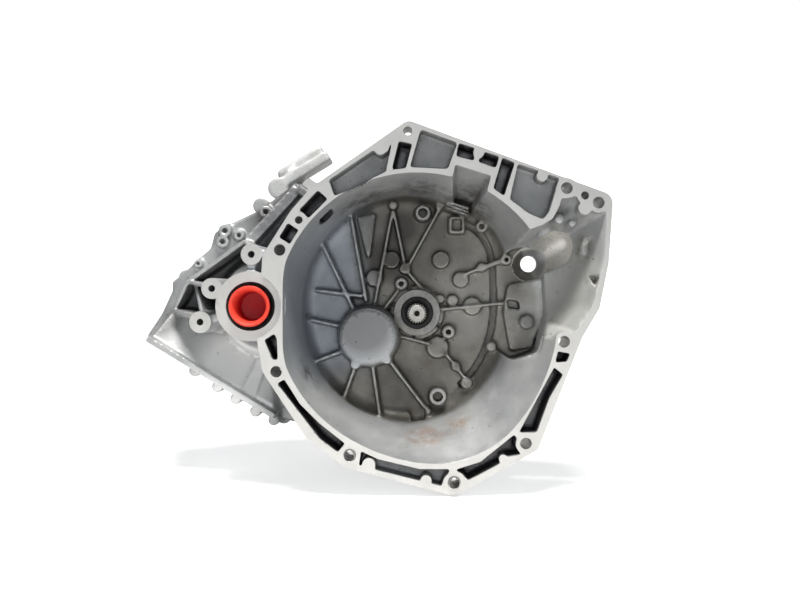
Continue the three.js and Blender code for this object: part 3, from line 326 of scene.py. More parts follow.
SHALLOW_CELLS = [
    [(-97, 147, 3), (-48, 180, 3), (-42, 175, 3), (-32, 179, 3), (-26, 195, 3), (-34, 156, 3),
     (-91, 129, 3)],
    [(4, 203, 4), (45, 188, 4), (34, 159, 4), (-8, 161, 3)],
    [(111, 165, 2), (135, 157, 2), (157, 149, 2), (146, 112, 8), (139, 103, 6), (122, 111, 5),
     (102, 126, 3)],
    [(36, -171, 2), (35, -177, 2), (30, -182, 3), (27, -190, 2), (-46, -172, 2), (-48, -164, 2),
     (-64, -168, 2), (-62, -151, 2), (-43, -160, 0), (3, -171, 0)],
]
DEEP_CELL, SHALLOW_CELL = 30, 20
NOTCH = [(36, 140, 1), (42, 166, 2), (83, 153, 2), (75, 124, 1), (50, 116, 1)]
NOTCH_FOCUS = (50, 110)
NOTCH_DEPTH, NOTCH_SHRINK = 97, 0.45
# The groove in the floor: how far inside the floor's edge it runs, its middle and half its sweep.
GROOVE_INSET, GROOVE_AT, GROOVE_HALF = 9, 0.03, 0.98
FLANGE_HOLES = [
    (-10, 201, 5), (165, 138, 6.6), (185, 130, 4.6), (200, 122, 6.6), (162, -31, 6.6),
    (120, -143, 6.5), (-155, -64, 6.4), (-151, 70, 6.4), (-130, 103, 4.4),
]
DOWEL_HOLES = [(41, -186, 7), (-74, -156, 7)]
CELL_LUGS = [
    (-40, 181, 5.8), (68, 177, 5.8), (138, 151.5, 6), (95, -160, 4.6), (10, -184, 6),
    (-53, -166, 7), (185, 116, 7),
]
DOME_RIBS = [
    ((-61, 14), (-79, 113)), ((-76, 4), (-112, 78)), ((-66, 20), (-114, 26)),
    ((-84, -18), (-121, -10)), ((-84, -44), (-126, -60)), ((-72, -58), (-88, -102)),
    ((-54, -60), (-45, -123)), ((-36, -54), (9, -114)),
]
FLOOR_RIBS = [
    ((-51, 12), (-30, 122)), ((-14, 54), (-28, 122)), ((-12, 54), (29, 129)), ((-14, 52), (9, 26)),
    ((29, 4), (108, 12)), ((57, 46), (104, 65)), ((-22, -28), (16, -38)), ((35, -50), (60, -82)),
    ((-41, 3), (-22, 28)), ((23, 18), (10, 28)), ((84, 55), (108, 64)),
]
# Round pads and drilled bosses on the bell's floor: x, z, radius, front.
PADS = [
    (29, 64, 10, 89), (53, 40, 9.2, 89), (78, 55, 5.1, 86), (108, 64, 6.1, 84), (67, 8, 10.5, 89),
    (43, 15, 6.7, 91), (-31, 64, 10, 89), (-52, 42, 9.7, 89), (-15, 53, 5.8, 85),
    (7, 120, 9.2, 80), (27, 129, 4.2, 85), (-29, 130, 4.8, 84), (25, -42, 13.1, 91),
    (47, -65, 5.1, 87), (60, -85, 6.7, 86), (25, -101, 10.3, 80), (90, -41, 6.1, 88),
    (131, -11, 7.3, 70), (12, -119, 4.8, 86), (-19, 35, 7.2, 82), (38, -23, 7.8, 82),
    (28, 17, 4.8, 86), (-73, -61, 5.3, 62), (-36, -55, 5.3, 62),
]
DRILLED = [
    (7, 120, 5.6, 80), (25, -101, 6.0, 80), (108, 64, 2.4, 84), (-19, 35, 2.8, 82),
    (38, -23, 3, 82),
]
SENSOR_HOLE = (138, 60)
# Opening beside the bell's floor: its channel, its shelf and the turned scoop above them.
CHANNEL = [
    (98, 66, 4), (114, 76, 6), (128, 80, 6), (142, 70, 6), (150, 46, 6), (152, 0, 8),
    (140, -46, 10), (112, -56, 10), (90, -40, 10),
]
SHELF = [(109, 34, 9), (153, 42, 3), (152, 0, 6), (138, -42, 6), (112, -46, 6), (104, 0, 4)]
SCOOP = ((136, 92, 58), (165, 64, 76), 21)
TABS = [(-185, 66, 11.7), (-231, 28, 11.7), (-246, -10, 12.3)]
TAB_FRONTS = [DIFF_FACE, DIFF_FACE + 7, DIFF_FACE + 14]
# Walls round the pockets beside the outlet: ends, thickness, and how near each end comes.
POCKET_WALLS = [
    ((-286, 38), (-212, 88), 5, 116, 104), ((-212, 88), (-185, 66), 4, 104, 40),
    ((-284, 38), (-231, 28), 4, 116, 34), ((-286, 38), (-304, 2), 5, 116, 118),
    ((-276, 34), (-246, -10), 4, 116, 40), ((-304, 2), (-246, -8), 5, 118, 60),
    ((-212, 88), (-152, 158), 13, 124, 138), ((-152, 158), (-124, 138), 10, 138, 110),
]
SIDE_POCKETS = [
    (-282, 36), (-213, 83), (-206, 79), (-146, 148), (-126, 134), (-148, 60), (-186, 50),
    (-225, 20), (-246, -8), (-300, 3),
]
JOINT_OUTLINE = [
    (-354, -32, 4), (-320, -52, 0), (-253, -92, 0), (-172, -141, 0), (-128, -152, 20),
    (-60, -112, 20), (18, -96, 20), (60, -56, 20), (62, 5, 20), (46, 55, 20), (-10, 92, 20),
    (-70, 118, 20), (-116, 152, 10), (-158, 170, 8), (-206, 134, 0), (-250, 113, 6),
    (-265, 104, 8), (-270, 84, 6), (-306, 51, 4), (-320, 40, 4), (-320, 28, 4), (-334, -2, 0),
]
JOINT_DRAFT = 0.985
JOINT_INNER = [
    (-326, -29, 6), (-253, -77, 0), (-172, -126, 6), (-128, -138, 16), (-64, -98, 16),
    (8, -76, 16), (43, -42, 16), (48, 3, 16), (34, 48, 16), (-18, 78, 16), (-76, 104, 16),
    (-120, 140, 8), (-156, 162, 8), (-203, 128, 0), (-243, 106, 6), (-289, 60, 8), (-306, 30, 8),
]
CHAMBER = [
    (-128, -24, 20), (-118, -80, 30), (-60, -98, 30), (14, -84, 20), (54, -48, 20), (60, 4, 20),
    (44, 52, 20), (-20, 62, 20), (-100, 44, 20),
]
JOINT_BOLTS = [
    (-338, -27), (-286, -62), (-234, -104), (-176, -137), (35, -84),
    (56, 42), (-66, 113), (-206, 140), (-304, 45),
]


def mouth_radius(angle):
    around = np.arctan2(np.sin(angle + 1.19), np.cos(angle + 1.19)) / 0.55
    radius = MOUTH_RADIUS + MOUTH_BULGE * np.exp(-around * around)
    left = np.where(np.cos(angle) < -0.1, MOUTH_LEFT / np.maximum(-np.cos(angle), 0.1), 1e3)
    return -smooth_max(-radius, -left, 6)


def floor_radius(angle):
    across, up = FLOOR_HALF
    around = (angle - 0.72) / 0.36
    ellipse = across * up / np.hypot(up * np.cos(angle), across * np.sin(angle))
    return ellipse + 15 * np.exp(-around * around)


def bell(margin, y0, y1, corner):
    """The space between the bell's mouth and its floor, grown by a margin."""

    def distance(x, y, z):
        t = np.clip(y / FLOOR_FRONT, 0, 1.1)
        dx, dz = x - FLOOR_CENTRE[0] * t, z - FLOOR_CENTRE[1] * t
        angle = np.arctan2(dz, dx)
        radius = mouth_radius(angle) * (1 - t) + floor_radius(angle) * t + margin
        side = (np.hypot(dx, dz) - radius) * 0.94
        return smooth_max(side, np.maximum(y0 - y, y - y1), corner)

    return (-170, y0, -180), (180, y1, 180), distance


def bell_shell(body):
    body.add(prism(RIM, -PROUD, RIM_BACK, edge=0), 0)
    body.add(bell(WALL, 0, FLOOR_BACK, 8), 6)
    body.add(bay_space(4, BAY_DEPTH + 9, 16, 8), 6)
    body.add(prism(NOTCH, 8, NOTCH_DEPTH + 6, NOTCH_FOCUS, NOTCH_SHRINK, edge=5, grow=7), 5)
    body.add(trough(*SCOOP[:2], SCOOP[2] + 6), 5)
    body.add(prism(CHANNEL, 50, FLOOR_BACK, edge=6, grow=7), 4)
    body.add(rod((-111, 117), 15, 20, 46, edge=3), 3)
    body.add(rod((1, -128), 16, 76, FLOOR_BACK, edge=3), 3)
    for x, z in [(-10, 203), (62, 174), (120, 152), (196, 128), (172, -26), (122, -144),
                 (41, -190), (-74, -158)]:
        reach = math.hypot(x, z)
        foot = (x / reach * 120, z / reach * 120)
        body.add(sloped_web(foot, (x, z)), 4)


def sloped_web(foot, tip):
    """A web behind the flange, whose back edge slopes up to the bell's floor."""
    length, measure = along_line(foot, tip)
    root = FLOOR_BACK - 8

    def distance(x, y, z):
        along, across = measure(x, z)
        ramp = root - (root - RIM_BACK) * np.clip(along / length, 0, 2)
        slope = np.maximum((y - ramp) * 0.75, RIM_BACK - 8 - y)
        ends = np.abs(along - length / 2) - length / 2
        return smooth_max(np.maximum(slope, ends), across - 3, 1)

    return *span(RIM_BACK, FLOOR_BACK, 8, foot, tip), distance


def bell_inside(body):
    body.add(rod(DOME, 34, DOME_FRONT, FLOOR_BACK, 39.5, edge=6), 4)
    body.add(prism([(-73, 116, 2), (-50, 120, 2), (-58, 56, 4)], 86, FLOOR_BACK, edge=3), 3)
    body.add(rod(INPUT, 32, INPUT_BOSS_FRONT + 6, FLOOR_BACK, 34, edge=1.5), 3)
    body.add(rod(INPUT, 27.5, INPUT_BOSS_FRONT - 3, FLOOR_BACK, 28), 1)
    for angle in np.radians([20, 55, 108, 160, 215, 262, 330]):
        at = (30.5 * math.cos(angle), 30.5 * math.sin(angle))
        body.cut(rod(at, 2.6, INPUT_BOSS_FRONT + 3, INPUT_BOSS_FRONT + 14, edge=0.5), 0.8)
    for start, end in DOME_RIBS:
        body.add(bar(start, past(start, end, 9), 3.2, FLOOR_BACK - 1, 78, 84), 4)
    for start, end in FLOOR_RIBS:
        body.add(bar(start, end, 2.8, FLOOR_BACK - 1, 87), 4)
    body.add(box_shape((38, 58), (84, FLOOR_BACK), (95, 117), 4), 3)
    body.cut(box_shape((42, 54), (70, 92), (99, 113), 3), 2)
    for level in (122, 126, 130):
        body.add(bar((34, level + 4), (62, level - 6), 2.2, FLOOR_BACK + 4, 74), 2)
    body.add(rod((78, 104), 7, 84, FLOOR_BACK, 8, edge=2), 3)
    body.drill([(78, 104)], 3, 80, 92, 0.6)
    for x, z, radius, front in PADS:
        body.add(rod((x, z), radius, front, FLOOR_BACK - 1, radius + 1.2, edge=1.8), 3.5)
    body.cut(floor_groove(), 1.5)
    body.cut(prism([(-114, 107), (-107, 121), (-92, 117), (-97, 102)], 24, 37, edge=2), 1)
    body.cut(prism([(-8, -116, 1), (10, -116, 1), (9, -140, 1), (-6, -140, 1)], 84, 96, edge=2), 2)


def past(start, end, extra):
    """The end of a rib that runs on beyond its end point."""
    length = math.dist(start, end)
    return tuple(b + (b - a) / length * extra for a, b in zip(start, end))


def floor_groove():
    """A shallow step that follows the right edge of the bell's floor."""

    def distance(x, y, z):
        dx, dz = x - FLOOR_CENTRE[0], z - FLOOR_CENTRE[1]
        angle = np.arctan2(dz, dx)
        side = np.abs(np.hypot(dx, dz) - floor_radius(angle) + GROOVE_INSET) - 4
        ends = (np.abs(angle - GROOVE_AT) - GROOVE_HALF) * 110
        return smooth_max(smooth_max(side, np.abs(y - 98) - 4.5, 1.5), ends, 3)

    return (20, 92, -106), (120, 104, 120), distance


def flange_pockets(body):
    for cell in DEEP_CELLS:
        body.cut(prism(cell, -PROUD - 2, DEEP_CELL, edge=4), 0)
    for cell in SHALLOW_CELLS:
        body.cut(prism(cell, -PROUD - 2, SHALLOW_CELL, edge=4), 0)
    for x, z, radius in FLANGE_HOLES:
        if z < 195:
            body.add(rod((x, z), radius + 4.2, -PROUD, BOSS_BACK, edge=0), 2)
    for x, z, radius in DOWEL_HOLES:
        body.add(rod((x, z), radius + 4.2, -PROUD, RIM_BACK, edge=0), 2)
    for x, z, radius in CELL_LUGS:
        body.add(rod((x, z), radius, -PROUD, SHALLOW_CELL + 4, radius + 0.6, edge=0), 2)
    body.cut(bell(-0.6, -PROUD - 2, FLOOR_FRONT - 20, 0), 0)


def differential_side(body):
    body.add(rod(DIFF, 39, DIFF_FACE - PROUD, FLOOR_BACK + 44, 44, edge=0), 2)
    body.add(rod(DIFF, 58, 114, BULGE_FRONT + 4, 72, edge=5), 6)
    for (x, z, radius), front in zip(TABS, TAB_FRONTS):
        body.add(rod((x, z), radius, front - PROUD, BULGE_FRONT + 4, radius + 2.5, edge=0), 3)
        body.add(bar(DIFF, (x, z), 9, BULGE_FRONT, front + 3), 4)
    for start, end, width, top, end_top in POCKET_WALLS:
        body.add(bar(start, end, width, BULGE_FRONT + 4, top, end_top), 3)
    body.add(lower_panel(), 4)
    body.add(bar((-333, -32), (-176, -128), 7, JOINT - 8, 104), 2)
    for x, z in [(-281, -74), (-252, -94), (-229, -109), (-204, -125), (-181, -136)]:
        body.add(rod((x, z), 7, 128, JOINT + PROUD, edge=2), 3)
    body.add(bar((-196, -62), (-211, -106), 15, JOINT - 8, 128, 112), 5)
    for x, z, radius in [(-248, 90, 7.9), (-245, 104, 7.9), (-227, 98, 6.6), (-193, 128, 7.9),
                         (-279, 62, 5.2)]:
        body.add(rod((x, z), radius, 138, JOINT + PROUD, edge=1), 3)
        body.drill([(x, z)], radius * 0.42, 132, 150, 0.5)
    body.add(bar((-185, 66), (-150, 70), 7, RIM_BACK + 40, DIFF_FACE + 6, 6), 4)
    body.add(bar(DIFF, (-170, -62), 10, BULGE_FRONT, 40, 30), 5)


def lower_panel():
    """The sloping panel under the outlet, nearest to the engine along its lower edge."""
    field = Field([(-308, 4, 3), (-250, -4, 6), (-212, -30, 20), (-184, -62, 10), (-176, -128, 3),
                   (-333, -34, 3)])
    foot, normal = (-331, -31), (0.483, 0.876)

    def distance(x, y, z):
        rise = (x - foot[0]) * normal[0] + (z - foot[1]) * normal[1]
        front = 114 + 0.5 * np.clip(rise, 0, 80)
        return smooth_max(field.at(x, z), np.maximum((front - y) * 0.88, y - JOINT + 8), 2)

    return (-335, 106, -130), (-174, JOINT, 6), distance


def drafted(corners, front, back, grow=0.0):
    """An outline that is full size at its back and a little smaller at its front."""
    small = [(x * JOINT_DRAFT, z * JOINT_DRAFT, r) for x, z, r in corners]
    return prism(small, front, back, (0, 0), 1 / JOINT_DRAFT, 5, grow)


def gear_compartment(body):
    body.add(drafted(JOINT_OUTLINE, BULGE_FRONT, JOINT + PROUD, -1), 6)
    body.add(prism(JOINT_OUTLINE, JOINT - 12, JOINT + PROUD, edge=1.5), 2)
    body.add(prism(CHAMBER, FLOOR_FRONT + 2, BULGE_FRONT + 4, edge=3), 6)
    body.boss(JOINT_BOLTS, BOLT_BOSS, JOINT - 26, JOINT + PROUD, 1.5)


def housing_spaces(body):
    body.cut(drafted(JOINT_INNER, BULGE_FRONT + WALL, JOINT + PROUD + 2), 1)
    inner = [(x * 0.86 - 4, z * 0.86 - 2, r) for x, z, r in CHAMBER]
    body.cut(prism(inner, FLOOR_BACK + 2, BULGE_FRONT + WALL + 2, edge=4), 1)
    body.cut(rod(DIFF, 50, FLOOR_BACK + 18, BULGE_FRONT + WALL + 2, 62, edge=4), 1)
    body.add(rod(INPUT, 33, FLOOR_BACK - 1, FLOOR_BACK + 18), 2)
    for centre, radius, y0, y1 in [
        (INPUT, 19.6, INPUT_BOSS_FRONT - 8, FLOOR_FRONT + 1),
        (INPUT, 13, FLOOR_FRONT - 1, FLOOR_BACK + 30),
        (INPUT, 27.3, FLOOR_BACK + 2, FLOOR_BACK + 30),
        (OUTPUT, 26.3, DOME_FRONT + 12, FLOOR_BACK + 4),
        (DIFF, 36.5, -PROUD - 2, DIFF_FACE - PROUD), (DIFF, 27.5, DIFF_FACE - 8, FLOOR_BACK),
        (DIFF, 31.3, FLOOR_BACK - 1, FLOOR_BACK + 20), (SENSOR_HOLE, 10, 0, 150),
    ]:
        body.drill([centre], radius, y0, y1, 0.8)


def drill_housing(body):
    for hole in FLANGE_HOLES:
        body.drill([hole], hole[2], -PROUD - 2, BOSS_BACK + 2)
    for hole in DOWEL_HOLES:
        body.drill([hole], hole[2], -PROUD - 2, 14)
    body.drill(DOWEL_HOLES, 5.2, -PROUD - 2, RIM_BACK + 1)
    for *centre, radius, front in DRILLED:
        body.drill([centre], radius, front - 2, front + 16, 0.6)
    for tab, front in zip(TABS, TAB_FRONTS):
        body.drill([tab], 4, front - PROUD - 2, front + 27)
    body.drill(JOINT_BOLTS, BOLT_HOLE, JOINT - 22, JOINT + PROUD + 2)


def segment_distance(point, start, end):
    """Distance from points given as x, y, z arrays to a straight line between two points."""
    a, b = np.array(start, float), np.array(end, float)
    length = np.linalg.norm(b - a)
    u = (b - a) / length
    along = sum((p - q) * r for p, q, r in zip(point, a, u))
    t = np.clip(along, 0, length)
    return np.sqrt(sum((p - q - t * r) ** 2 for p, q, r in zip(point, a, u)))


def trough(start, end, radius):
    """A round-ended trough between two points in space."""

    def distance(x, y, z):
        return segment_distance((x, y, z), start, end) - radius

    ends = np.array([start, end], float)
    return tuple(ends.min(0) - radius), tuple(ends.max(0) + radius), distance


def bay_space(front, back, edge, grow=0.0):
    """The bay's sloping space from one depth to another; it is full size at the engine face."""
    rate = BAY_TAPER / (BAY_DEPTH + 6)
    first, last = 1 - rate * front, 1 - rate * back
    across, up = BAY_FOCUS
    corners = [(across + (x - across) * first, up + (z - up) * first, r) for x, z, r in BAY]
    return prism(corners, front, back, BAY_FOCUS, last / first, edge, grow)


def starter_bay(body):
    """The bay's floor: a channel to the sensor hole, a raised shelf and a bright scoop."""
    body.cut(prism(CHANNEL, 20, FLOOR_FRONT - 3, edge=5), 2)
    body.cut(trough(*SCOOP), 1)
    body.add(prism(SHELF, 83, FLOOR_BACK, edge=3), 3)
    body.add(rod((131, -11), 7.3, 72, FLOOR_BACK, 9, edge=2), 4)
    body.drill([(131, -11)], 3.2, 70, 80, 0.6)
    body.cut(prism([(108, 16, 2), (122, 14, 2), (124, 4, 2), (110, 6, 2)], 70, 93, edge=2), 2)
    body.add(rod((160, 106), 5, 16, 60, 7, edge=2), 5)
    body.add(rod((176, 102), 4, 24, 60, 6, edge=2), 4)


def build_housing():
    body = Casting((-362, -8, -206), (224, 210, 220), STEP)
    bell_shell(body)
    differential_side(body)
    gear_compartment(body)
    body.add(rod(SENSOR_HOLE, 19, 20, 118, 15, edge=3), 6)
    body.cut(bell(0, -PROUD - 2, FLOOR_FRONT, 14), 1)
    body.cut(bay_space(-50, BAY_DEPTH, 30), 0)
    upper = [(178, 84, 3), (199, 88, 4), (196, 62, 6), (184, 50, 8)]
    body.cut(prism(upper, 10, 34, (190, 70), 0.8, edge=6), 3)
    lower = [(192, 44, 2), (203, 41, 3), (198, 28, 2)]
    body.cut(prism(lower, 2, 20, (196, 38), 0.8, edge=3), 2)
    starter_bay(body)
    body.cut(prism(NOTCH, -PROUD - 2, NOTCH_DEPTH, NOTCH_FOCUS, NOTCH_SHRINK, edge=3), 2)
    flange_pockets(body)
    bell_inside(body)
    housing_spaces(body)
    drill_housing(body)
    return body


# ---------------------------------------------------------------- gear casing and rear cover
GEAR_INNER = [
    (-111, -26, 20), (-100, -72, 30), (-56, -84, 20), (10, -80, 20), (38, -50, 20), (46, 0, 20),
    (34, 50, 20), (-22, 89, 16), (-70, 89, 20), (-113, 30, 20),
]
GEAR_OUTER = [
    (-118, -26, 24), (-107, -78, 34), (-58, -92, 24), (13, -89, 24), (46, -55, 24), (54, 0, 26),
    (40, 56, 24), (-19, 97, 22), (-75, 97, 24), (-121, 34, 24),
]
COVER_BOLTS = [(-108, -62), (22, -72), (42, 36), (-92, 66)]
DRAIN, BREATHER = (-56, 278), (-46, 306)
REVERSE = (2.9, -44.3)
GEAR_MODULE = 2 * math.hypot(*OUTPUT) / 36
SELECTOR_EXIT, SELECTOR_Y, SELECTOR_LEAN = (-167.5, 174.9), 245, -0.547
DUCT_TOP = -19


def lean(x, y, z):
    """Turns grid points into the selector's own frame, whose z runs out along its shaft."""
    dx, dz = x - SELECTOR_EXIT[0], z - SELECTOR_EXIT[1]
    c, s = math.cos(SELECTOR_LEAN), math.sin(SELECTOR_LEAN)
    return dx * c - dz * s, y - SELECTOR_Y, dx * s + dz * c


def lean_box(xs, ys, zs, edge):
    """A box in the selector's own frame."""
    upright_box = box_shape(xs, ys, zs, edge)[2]

    def distance(x, y, z):
        return upright_box(*lean(x, y, z))

    return (-210, SELECTOR_Y + ys[0], 10), (-40, SELECTOR_Y + ys[1], 200), distance


def lean_rod(radius, z0, z1):
    """A round boss on the selector shaft's own axis."""
    upright_rod = upright((0, 0), radius, z0, z1)[2]

    def distance(x, y, z):
        return upright_rod(*lean(x, y, z))

    return (-215, SELECTOR_Y - radius, 20), (-90, SELECTOR_Y + radius, 205), distance


def upright(centre, radius, z0, z1, edge=1.0):
    def distance(x, y, z):
        side = np.hypot(x - centre[0], y - centre[1]) - radius
        return smooth_max(side, np.abs(z - (z0 + z1) / 2) - (z1 - z0) / 2, edge)

    low = (centre[0] - radius, centre[1] - radius, z0)
    return low, (centre[0] + radius, centre[1] + radius, z1), distance


def build_casing():
    body = Casting((-362, 194, -162), (72, 364, 186), STEP)
    body.add(prism(JOINT_OUTLINE, JOINT - PROUD, JOINT + 12, edge=1.5), 2)
    body.boss(JOINT_BOLTS, BOLT_BOSS, JOINT - PROUD, JOINT + 20, 1.2)
    body.add(rod(DIFF, 114, JOINT + 2, DIFF_COVER_BACK, 104, edge=12), 8)
    body.add(rod(DIFF, 50, DIFF_COVER_BACK - 6, DIFF_BOSS_BACK, 41, edge=2), 6)
    body.add(prism(GEAR_OUTER, JOINT, CASING_BACK + PROUD, edge=1), 8)
    body.boss(COVER_BOLTS, COVER_BOSS, CASING_BACK - 24, CASING_BACK + PROUD, 1)
    body.add(lean_box((-30, 30), (-32, 28), (-150, DUCT_TOP), 6), 8)
    body.add(upright(DRAIN, 15, -97, -80), 3)
    body.add(upright(BREATHER, 11, 86, 101), 3)
    for x, z in [(-112, -52), (-84, -86), (-24, -88), (48, -26), (47, 28), (8, 78)]:
        out = np.array([x + 36, z - 2], float)
        out /= np.linalg.norm(out)
        body.add(bar((x - 9 * out[0], z - 9 * out[1]), (x + 9 * out[0], z + 9 * out[1]), 4,
                     JOINT + 120, JOINT + 4, JOINT + 4), 4)
    for angle in (2.1, 2.5, 2.9, 3.3, 3.7, 4.1, 4.5, 1.7):
        tip = (DIFF[0] + 100 * math.cos(angle), DIFF[1] + 100 * math.sin(angle))
        body.add(bar(DIFF, tip, 5, DIFF_BOSS_BACK - 4, DIFF_COVER_BACK - 12, edge=2), 5)
        body.cut(rib_slope(angle), 2)
    body.cut(prism(JOINT_INNER, JOINT - PROUD - 2, JOINT + 2, edge=0), 0)
    body.cut(rod(DIFF, 106, JOINT - PROUD - 2, DIFF_COVER_BACK - WALL, 97, edge=8), 0)
    body.cut(prism(GEAR_INNER, JOINT - PROUD - 2, END_WALL, edge=6), 0)
    body.drill([REVERSE], 30.4, 318, END_WALL - 0.3)
    body.cut(lean_box((-23, 23), (-25, 21), (-165, DUCT_TOP - WALL), 3), 0)
    body.cut(lean_rod(17, DUCT_TOP - WALL - 1, DUCT_TOP + 4), 0)
    body.add(rod(DIFF, 38, DIFF_COVER_BACK - 24, DIFF_COVER_BACK - 6), 1)
    for centre, radius, y0, y1 in [
        (INPUT, 24.3, END_WALL - 2, CASING_BACK + 6),
        (OUTPUT, 26.3, END_WALL - 2, CASING_BACK + 6),
        (DIFF, 31.5, DIFF_COVER_BACK - 26, DIFF_COVER_BACK - 8),
        (DIFF, 27.5, DIFF_COVER_BACK - 9, DIFF_BOSS_BACK + 2),
        (REVERSE, 8.3, END_WALL - 1, END_WALL + 10),
    ]:
        body.drill([centre], radius, y0, y1)
    body.cut(upright(DRAIN, 9.3, -99, -70), 0)
    body.cut(upright(BREATHER, 4.3, 70, 103), 0)
    body.drill(JOINT_BOLTS, BOLT_HOLE, JOINT - PROUD - 2, JOINT + 22)
    return body


def rib_slope(angle):
    """The space over a cover rib, which falls away from the outlet boss."""
    ux, uz = math.cos(angle), math.sin(angle)

    def distance(x, y, z):
        dx, dz = x - DIFF[0], z - DIFF[1]
        along = dx * ux + dz * uz
        crest = DIFF_BOSS_BACK - 4 - np.clip(along - 40, 0, 80) * 0.26
        across = np.abs(dz * ux - dx * uz) - 4.5
        return np.maximum(np.maximum(crest - y, across), 46 - along)

    tip = (DIFF[0] + 110 * ux, DIFF[1] + 110 * uz)
    return *span(DIFF_COVER_BACK - 14, DIFF_BOSS_BACK + 2, 5, DIFF, tip), distance


def build_cover():
    body = Casting((-132, 350, -104), (66, 382, 110), STEP)
    body.add(prism(GEAR_OUTER, CASING_BACK - PROUD, COVER_BACK, edge=3), 2)
    body.boss(COVER_BOLTS, COVER_BOSS, CASING_BACK - PROUD, COVER_BACK, 1.2)
    body.add(rod(INPUT, 27, COVER_BACK - 2, COVER_BACK + 5, 23, edge=3), 4)
    body.add(rod(OUTPUT, 29, COVER_BACK - 2, COVER_BACK + 5, 25, edge=3), 4)
    for end in [(-36, 84), (-100, 60), (20, -66), (30, 50)]:
        body.add(bar((-36, 2), end, 4, COVER_BACK + 2.5, COVER_BACK - 3), 3)
    body.drill([INPUT], 22, CASING_BACK - PROUD - 2, COVER_BACK - 4)
    body.drill([OUTPUT], 24, CASING_BACK - PROUD - 2, COVER_BACK - 4)
    body.drill(COVER_BOLTS, COVER_HOLE, CASING_BACK - PROUD - 2, COVER_BACK + 1)
    return body


# ---------------------------------------------------------------- meshes
def clean_mesh(mesh, merge, drop, smooth):
    """Merges points nearer than merge and drops faces thinner than drop, in millimetres."""
    work = bmesh.new()
    work.from_mesh(mesh)
    bmesh.ops.remove_doubles(work, verts=work.verts, dist=merge * MM)
    bmesh.ops.dissolve_degenerate(work, dist=drop * MM, edges=work.edges)
    bmesh.ops.recalc_face_normals(work, faces=work.faces)
    work.to_mesh(mesh)
    work.free()
    mesh.shade_smooth()
    mesh.set_sharp_from_angle(angle=math.radians(smooth))


def new_object(name, points, faces, materials, rides_on, stands_for,
               smooth=34, cleaning=TURNED_CLEANING, shading_masks=None):
    """A piece made of points in millimetres that rides on a body and replaces one CAD node."""
    mesh = bpy.data.meshes.new(name)
    mesh.from_pydata([tuple(p) for p in np.asarray(points) * MM], [], faces)
    mesh.validate()
    for material in materials:
        mesh.materials.append(material)
    for key, values in (shading_masks or {}).items():
        mesh.attributes.new(key, "FLOAT", "POINT").data.foreach_set("value", values)
    clean_mesh(mesh, *cleaning, smooth)
    obj = bpy.data.objects.new(name, mesh)
    bpy.context.scene.collection.objects.link(obj)
    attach(obj, rides_on)
    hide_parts(stands_for)
    return obj


def cast_object(name, body, faces_at, stands_for):
    """Turns a casting into a mesh and mills it: faces_at lists (side, y, centre, r0, r1) lands."""
    points, faces = body.surface(adaptivity=0.012)
    # Masks for painted shade in hollows, crevices and pockets, and for painted highlights on
    # edges.
    shading_masks = {"hollow": body.fullness(points, HOLLOW_REACH),
            "crevice": body.fullness(points, CREVICE_REACH)}
    if name == "housing":
        shading_masks["shade"] = housing_shade(points)
    for side, level, centre, inner, outer in faces_at:
        reach = np.hypot(points[:, 0] - centre[0], points[:, 2] - centre[1])
        over = (level - points[:, 1]) * side
        hit = (over > 0) & (over < PROUD + 2) & (reach > inner) & (reach < outer)
        points[hit, 1] = level
    obj = new_object(name, points, faces, [CAST, MILLED, TURNED], "casing", stands_for,
                     CAST_SMOOTH, CAST_CLEANING, shading_masks)
    assign_milled(obj.data, faces_at)


def housing_shade(points):
    """How dark each of the housing's pockets is, from 0 outside them to 1 in the deepest."""
    x, y, z = points.T
    shade = np.zeros(len(points), np.float32)
    for cells, value in ((SHALLOW_CELLS, 0.42), (DEEP_CELLS, 1.0)):
        for cell in cells:
            inside = (Field(cell).at(x, z) < 1.5) & (y > 2) & (y < RIM_BACK - 3)
            shade[inside] = value * np.clip((y[inside] - 2) / 8, 0, 1)
    depth = np.clip((y - 96) / 34, 0, 1)
    beside = depth * 0.86 * (Field(SIDE_POCKETS).at(x, z) < 0) * (y < 170)
    around = np.hypot(x - DIFF[0], z - DIFF[1])
    crescent = np.clip((58 - around) / 6, 0, 1) * (z < 0) * (y > 92) * (y < 170)
    dx, dz = x - FLOOR_CENTRE[0], z - FLOOR_CENTRE[1]
    angle = np.arctan2(dz, dx)
    groove = (np.abs(np.hypot(dx, dz) - floor_radius(angle) + GROOVE_INSET) < 3.2)
    groove = groove & (y > 98.6) & (y < 104) & (np.abs(angle - GROOVE_AT) < GROOVE_HALF)
    return np.maximum(np.maximum(np.maximum(shade, beside), crescent * 0.75), groove * 0.55)


def assign_milled(mesh, faces_at):
    """Gives the lands and bores the milled look, and the scoop the turned one."""
    count = len(mesh.polygons)
    centres = np.zeros(count * 3, np.float32)
    normals = np.zeros(count * 3, np.float32)
    mesh.polygons.foreach_get("center", centres)
    mesh.polygons.foreach_get("normal", normals)
    centres, normals = centres.reshape(-1, 3) / MM, normals.reshape(-1, 3)
    index = np.zeros(count, np.int32)
    for side, level, centre, inner, outer in faces_at:
        if level == INPUT_BOSS_FRONT:
            continue
        reach = np.hypot(centres[:, 0] - centre[0], centres[:, 2] - centre[1])
        flat = (np.abs(centres[:, 1] - level) < 0.2) & (normals[:, 1] * side < -0.9)
        index[flat & (reach > inner - 1) & (reach < outer)] = 1
    for x, z, radius in FLANGE_HOLES + DOWEL_HOLES + [(*SENSOR_HOLE, 10)]:
        reach = np.hypot(centres[:, 0] - x, centres[:, 2] - z)
        index[(reach < radius + 0.4) & (np.abs(normals[:, 1]) < 0.3)] = 1
    scooped = segment_distance(centres.T, *SCOOP[:2]) - SCOOP[2]
    index[(np.abs(scooped) < 0.6) & (centres[:, 1] < 100)] = 2
    mesh.polygons.foreach_set("material_index", index)


